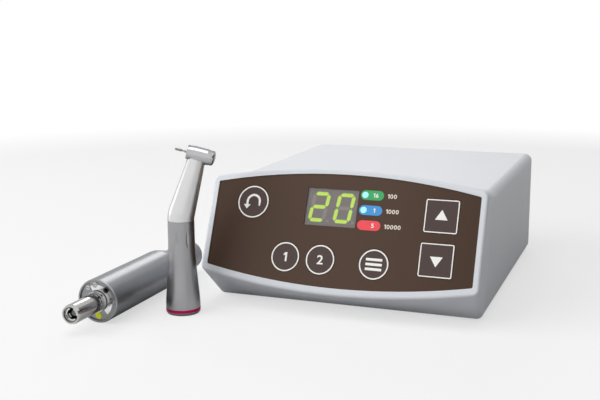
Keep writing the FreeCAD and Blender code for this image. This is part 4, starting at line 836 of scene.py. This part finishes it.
class DressContraAngle(Operator):
    """Give the contra-angle's parts their metals"""
    bl_idname = "micromotor.dress_contra_angle"
    bl_label = "Dress contra-angle"

    def execute(self, context):
        metals = context.scene.metal_colours
        paint(turned("foot steel", metals.dark, Z_AXIS, 0.3), "base_ring", "input_shaft", "middle_shaft")
        paint(turned("ring anodising", metals.ring, Z_AXIS, 0.35), "colour_ring")
        paint(satin("handle steel", metals.handle), "handle_shell")
        # The neck's lighter tone is painted reflection.
        paint(satin("neck steel", metals.neck, 0.33), "neck_shell")
        paint(turned("neck shaft steel", metals.dark, NECK_AXIS, 0.3), "neck_shaft")
        paint(polished("head chrome", metals.head, 0.12, 0.02, 1.1), "head_housing", "head_cap",
              "push_button")
        paint(turned("spindle steel", metals.dark, HEAD_AXIS, 0.25), "chuck_spindle")
        paint(turned("spring steel", metals.screw, HEAD_AXIS, 0.25), "button_spring")
        paint(clear("light glass", linear(235, 240, 242), 0.7), "light_window")
        paint(turned("sleeve brass", linear(206, 182, 128), Z_AXIS, 0.3), "inner_sleeves")
        paint(turned("ball steel", linear(200, 200, 202), Z_AXIS, 0.12), "contra_bearings")
        return {"FINISHED"}


class CutBur(Operator):
    """Make the bur: a shank with a shoulder, a neck and a fluted cutter"""
    bl_idname = "micromotor.cut_bur"
    bl_label = "Cut bur"
    flutes, sides, twists, turn = 8, 48, 6, math.radians(9.0)

    def execute(self, context):
        sizes = context.scene.bur_sizes
        start = sizes.reach - sizes.cutter_length + sizes.cutter_taper
        steps = [(sizes.shoulder, sizes.shank, 0.0), (sizes.shoulder + sizes.taper, sizes.neck, 0.0),
                 (sizes.reach - sizes.cutter_length, sizes.neck, 0.0), (start, sizes.cutter, 0.0)]
        run = (sizes.reach - sizes.cutter_taper - start) / self.twists
        steps += [(start + run * (step + 1), sizes.cutter, self.turn) for step in range(self.twists)]
        steps.append((sizes.reach, sizes.neck, 0.0))
        deselect()
        bpy.ops.mesh.primitive_cylinder_add(vertices=self.sides, radius=sizes.shank, depth=sizes.tail,
                                            location=(0, 0, -sizes.tail / 2))
        obj = named("fluted_bur")
        seat(obj)
        height, radius = 0.0, sizes.shank
        with Shaping(obj) as work:
            work.faces(lambda middle, normal: normal.z > 0.9)
            for top, next_radius, twist in steps:
                work.extrude(0, 0, top - height)
                share = next_radius / radius
                work.resize(share, share, 1.0, (0, 0, top))
                if twist:
                    bpy.ops.transform.rotate(value=twist, orient_axis="Z", center_override=(0, 0, top))
                height, radius = top, next_radius

            def in_flute(middle, normal):
                """The first two faces of each flute, on the cutter's straight part."""
                straight = start - HAIR < middle.z < sizes.reach - sizes.cutter_taper
                if not straight or middle.xy.length < sizes.cutter * 0.9:
                    return False
                level = int((middle.z - start) / run)
                bearing = math.atan2(middle.y, middle.x) + self.turn * (level + 0.5)
                side = int(bearing / (2 * math.pi) * self.sides + 100 * self.sides)
                return side % (self.sides // self.flutes) < 2

            work.faces(in_flute)
            bpy.ops.mesh.extrude_region_shrink_fatten(TRANSFORM_OT_shrink_fatten={"value": -sizes.flute})
            work.tidy()
        seat(obj, Matrix.Translation(HEAD_MIDDLE) @ HEAD_AXIS.to_track_quat("Z", "Y").to_matrix().to_4x4())
        choose(obj)
        bpy.ops.object.shade_smooth_by_angle(angle=math.radians(30))
        obj.data.materials.append(turned("bur steel", context.scene.metal_colours.bur, HEAD_AXIS, 0.25))
        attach(obj, "bur")
        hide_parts("bur")
        return {"FINISHED"}


class FitDisplayPane(Operator):
    """Fit the clear pane over the display, a hair above the bars"""
    bl_idname = "micromotor.fit_display_pane"
    bl_label = "Fit display pane"

    def execute(self, context):
        left, right, low, high, height = panel_fronts("display_window")[0]
        sizes = context.scene.mark_sizes
        obj = block("display_pane", right - left, high - low, sizes.pane, sizes.pane_corner)
        glass = clear("display pane", context.scene.unit_colours.display, 0.08)
        place = PANEL @ Matrix.Translation(((left + right) / 2, (low + high) / 2, height - sizes.pane))
        finish_piece(obj, "control_unit", glass, place)
        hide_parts("display_window")
        return {"FINISHED"}


class PrintRings(Operator):
    """Print the rings of the round keys and the outlines of the square ones"""
    bl_idname = "micromotor.print_rings"
    bl_label = "Print rings and outlines"

    def execute(self, context):
        sizes = context.scene.mark_sizes
        for node in ROUND_KEYS:
            left, right, _, _, _ = panel_fronts(node)[0]
            radius = (right - left) / 2 - sizes.margin
            print_on(node, ring("ring_" + node, radius, sizes.ring_line, sizes.height))
        for node in SPEED_KEYS:
            left, right, low, high, _ = panel_fronts(node)[0]
            obj = block("outline_" + node, right - left - 2 * sizes.margin, high - low - 2 * sizes.margin,
                        sizes.height, sizes.outline_corner)
            hollow_out(obj, sizes.outline_line)
            print_on(node, obj)
        return {"FINISHED"}


class PrintArrow(Operator):
    """Print the turned-back arrow of the reverse key"""
    bl_idname = "micromotor.print_arrow"
    bl_label = "Print reverse arrow"

    def execute(self, context):
        sizes = context.scene.mark_sizes
        radius, half = sizes.arrow_radius, sizes.arrow_line / 2
        deselect()
        bpy.ops.mesh.primitive_plane_add(size=sizes.arrow_line, location=(radius, -half, 0))
        obj = named("arrow_reverse_key")
        seat(obj)
        with Shaping(obj) as work:
            work.points(lambda point: point.y < -half)
            work.move(0, 2 * half - sizes.arrow_tail, 0)
            work.resize(0.6, 1.0, 1.0, (radius, -sizes.arrow_tail, 0))
            work.edges(lambda first, second: abs(first.y) + abs(second.y) < HAIR)
            bpy.ops.mesh.spin(steps=28, angle=-math.pi, center=(0, 0, 0), axis=(0, 0, 1))
            if min(vertex.co.x for vertex in bmesh.from_edit_mesh(obj.data).verts) > -radius:
                raise RuntimeError("the arrow turned the wrong way")
            work.edges(lambda first, second: abs(first.y) + abs(second.y) < HAIR and first.x < 0)
            work.extrude(0, -sizes.arrow_neck, 0)
            work.extrude(0, 0, 0)
            work.resize(sizes.arrow_head_width / sizes.arrow_line, 1.0, 1.0, (-radius, -sizes.arrow_neck, 0))
            work.extrude(0, -sizes.arrow_head, 0)
            bpy.ops.mesh.merge(type="CENTER")
            work.tidy()
        thicken(obj, sizes.height)
        print_on("reverse_key", obj, 0.2 * MM, 0.2 * MM)
        return {"FINISHED"}


class PrintKeyNumbers(Operator):
    """Print the plain numbers of the two memory keys"""
    bl_idname = "micromotor.print_key_numbers"
    bl_label = "Print key numbers"

    def execute(self, context):
        sizes = context.scene.mark_sizes
        for text, node in zip("12", ROUND_KEYS[1:]):
            print_on(node, number(f"number_{node}", text, sizes.number_height, sizes.height, KEY_BOLD))
        return {"FINISHED"}


class PrintBars(Operator):
    """Print the three bars of the select key"""
    bl_idname = "micromotor.print_bars"
    bl_label = "Print select bars"

    def execute(self, context):
        sizes = context.scene.mark_sizes
        for index, row in ((1, 1), (2, 0), (3, -1)):
            obj = block(f"bar_{index}_select_key", sizes.bar_length, sizes.bar_width, sizes.height, 0.2 * MM)
            print_on("select_key", obj, 0.0, row * sizes.bar_pitch)
        return {"FINISHED"}


class PrintTriangles(Operator):
    """Print the triangles of the two speed keys"""
    bl_idname = "micromotor.print_triangles"
    bl_label = "Print speed triangles"

    def execute(self, context):
        sizes = context.scene.mark_sizes
        for node, way, turn in zip(SPEED_KEYS, (1, -1), (0.0, math.pi)):
            deselect()
            bpy.ops.mesh.primitive_cylinder_add(vertices=3, radius=1.0, depth=1.0)
            obj = named("triangle_" + node)
            with Shaping(obj) as work:
                work.everything()
                work.move(0, -0.25, 0.5)
                work.resize(sizes.triangle_width / math.sqrt(3), sizes.triangle_height / 1.5, sizes.height)
                work.edges(upright_edge)
                bpy.ops.mesh.bevel(offset=0.15 * MM, segments=3, affect="EDGES")
                work.tidy()
            print_on(node, obj, 0.0, way * sizes.triangle_shift, turn)
        return {"FINISHED"}


class PrintRatioNumbers(Operator):
    """Print the plain numbers in and beside the ratio lenses"""
    bl_idname = "micromotor.print_ratio_numbers"
    bl_label = "Print ratio numbers"

    def execute(self, context):
        sizes, tones = context.scene.mark_sizes, context.scene.unit_colours
        rows = panel_fronts("ratio_lenses", 3)
        panel_height = panel_fronts("face_panel")[0][4]
        numbers = zip(rows, ("16", "1", "5"), ("100", "1000", "10000"))
        for (left, right, low, high, height), inner, outer in numbers:
            level = (low + high) / 2
            obj = number(f"ratio_{inner}_lens", inner, sizes.small_number, sizes.height, SMALL_BOLD)
            finish_piece(obj, "control_unit", ink("mark ink", tones.marks),
                        PANEL @ Matrix.Translation((left + (right - left) * LENS_NUMBER, level, height)))
            obj = number(f"number_{outer}_panel", outer, sizes.small_number, sizes.height, SMALL_BOLD)
            half = mesh_corners(obj)[1].x
            finish_piece(obj, "control_unit", ink("number ink", tones.numbers),
                        PANEL @ Matrix.Translation((right + sizes.small_gap + half, level, panel_height)))
        return {"FINISHED"}


class SetStudio(Operator):
    """Set up the paper floor, the grey card, the soft lamps and the camera"""
    bl_idname = "micromotor.set_studio"
    bl_label = "Set studio"

    def execute(self, context):
        scene, studio = context.scene, context.scene.studio_settings
        self.sweep(studio)
        self.card()
        for name, (place, aim, size) in LAMPS.items():
            self.lamp(name, Vector(place), Vector(aim), size, getattr(studio, name))
        self.world(scene, studio)
        bpy.ops.object.camera_add(location=studio.camera_place)
        camera = bpy.context.object
        turn, dip, roll = (Matrix.Rotation(value, 4, axis) for value, axis in (
            (studio.camera_turn, "Z"), (math.pi / 2 - studio.camera_dip, "X"), (studio.camera_roll, "Z")))
        camera.rotation_euler = (turn @ dip @ roll).to_euler()
        camera.data.lens = studio.camera_lens
        camera.data.sensor_width = 36.0
        camera.data.clip_start, camera.data.clip_end = 0.01, 50.0
        scene.camera = camera
        scene.view_settings.view_transform = "Standard"
        return {"FINISHED"}

    def sweep(self, studio):
        """Paper floor that fades to plain white some way from the object."""
        deselect()
        bpy.ops.mesh.primitive_plane_add(size=FLOOR_SIDE, location=(0, 0, -0.05 * MM))
        obj = named("paper_floor")
        seat(obj)
        with Shaping(obj) as work:
            work.everything()
            bpy.ops.mesh.subdivide(number_cuts=6)
        paper = bpy.data.materials.new("paper")
        paper.use_nodes = True
        tree = Tree(paper.node_tree)
        place = tree.add("TexCoord", {}, {}, 3)
        fibres = tree.noise(place, 1.2 * MM, 3.0)
        tone = tree.blend(*shades(studio.floor, 0.01), fibres)
        lit = tree.add("BsdfDiffuse", {}, {"Color": tone})
        dim = tree.add("BsdfDiffuse", {}, {"Color": MID_GREY})
        plain = tree.add("Emission", {}, {"Color": WHITE, "Strength": 1.0})
        distance = tree.add("VectorMath", {"operation": "LENGTH"}, {0: place})
        fade = ((distance - FADE_START) / FADE_LENGTH & 1.0) | tree.rays("Camera") * studio.floor_glow
        shown = tree.add("MixShader", {}, {0: fade, 1: lit, 2: plain})
        surface = tree.add("MixShader", {}, {0: tree.seen(), 1: dim, 2: shown})
        tree.add("OutputMaterial", {}, {"Surface": surface})
        obj.data.materials.append(paper)

    def card(self):
        """Grey card outside the view, at the right, that metals mirror."""
        deselect()
        bpy.ops.mesh.primitive_plane_add(size=1.0)
        obj = named("card_right")
        with Shaping(obj) as work:
            work.everything()
            work.resize(CARD_HEIGHT, CARD_LENGTH, 1.0)
            bpy.ops.mesh.subdivide(number_cuts=2)
        seat(obj, Matrix.Translation(CARD_PLACE) @ Matrix.Rotation(-math.pi / 2, 4, "Y"))
        finish = Finish("card grey")
        obj.data.materials.append(finish.surface(
            finish.blend(*shades(linear(96, 96, 98), 0.03), finish.grain(5 * MM)), 0.9))
        obj.visible_camera = obj.visible_shadow = obj.visible_diffuse = False

    def lamp(self, name, place, aim, size, watts):
        """Soft rectangular lamp. The key lamp isn't mirrored."""
        deselect()
        bpy.ops.object.light_add(type="AREA", location=place)
        lamp = named("lamp_" + name)
        lamp.data.shape = "RECTANGLE"
        lamp.data.size, lamp.data.size_y = size
        lamp.data.energy = watts
        lamp.rotation_euler = (aim - place).to_track_quat("-Z", "Y").to_euler()
        lamp.visible_glossy = name != "key"

    def world(self, scene, studio):
        """Even light all round that looks plain white."""
        world = bpy.data.worlds.new("studio")
        world.use_nodes = True
        scene.world = world
        tree = Tree(world.node_tree)
        soft = tree.add("Background", {}, {"Color": WHITE, "Strength": studio.ambient})
        white = tree.add("Background", {}, {"Color": WHITE, "Strength": 1.0})
        shown = tree.add("MixShader", {}, {0: tree.seen(), 1: soft, 2: white})
        tree.add("OutputWorld", {}, {"Surface": shown})


class MicromotorPanel(Panel):
    """Settings and steps of the set"""
    bl_idname = "VIEW3D_PT_micromotor"
    bl_label = "Micromotor Set"
    bl_space_type = "VIEW_3D"
    bl_region_type = "UI"
    bl_category = "Micromotor"

    def draw(self, context):
        layout = self.layout
        for name, group in GROUPS.items():
            box = layout.box()
            for prop in group.__annotations__:
                box.prop(getattr(context.scene, name), prop)
        for operator in OPERATORS:
            layout.operator(operator.bl_idname)


GROUPS = {"unit_colours": UnitColours, "metal_colours": MetalColours, "mark_sizes": MarkSizes,
          "bur_sizes": BurSizes, "studio_settings": StudioSettings}
OPERATORS = (DressControlUnit, DressMotor, DressContraAngle, CutBur, FitDisplayPane, PrintRings, PrintArrow,
             PrintKeyNumbers, PrintBars, PrintTriangles, PrintRatioNumbers, SetStudio)


def register():
    for part in (*GROUPS.values(), *OPERATORS, MicromotorPanel):
        bpy.utils.register_class(part)
    for name, group in GROUPS.items():
        setattr(bpy.types.Scene, name, PointerProperty(type=group))


def unregister():
    for name in GROUPS:
        delattr(bpy.types.Scene, name)
    for part in (MicromotorPanel, *reversed(OPERATORS), *reversed(GROUPS.values())):
        bpy.utils.unregister_class(part)


def main():
    register()
    for operator in OPERATORS:
        family, step = operator.bl_idname.split(".")
        getattr(getattr(bpy.ops, family), step)()


if __name__ == "__main__":
    main()
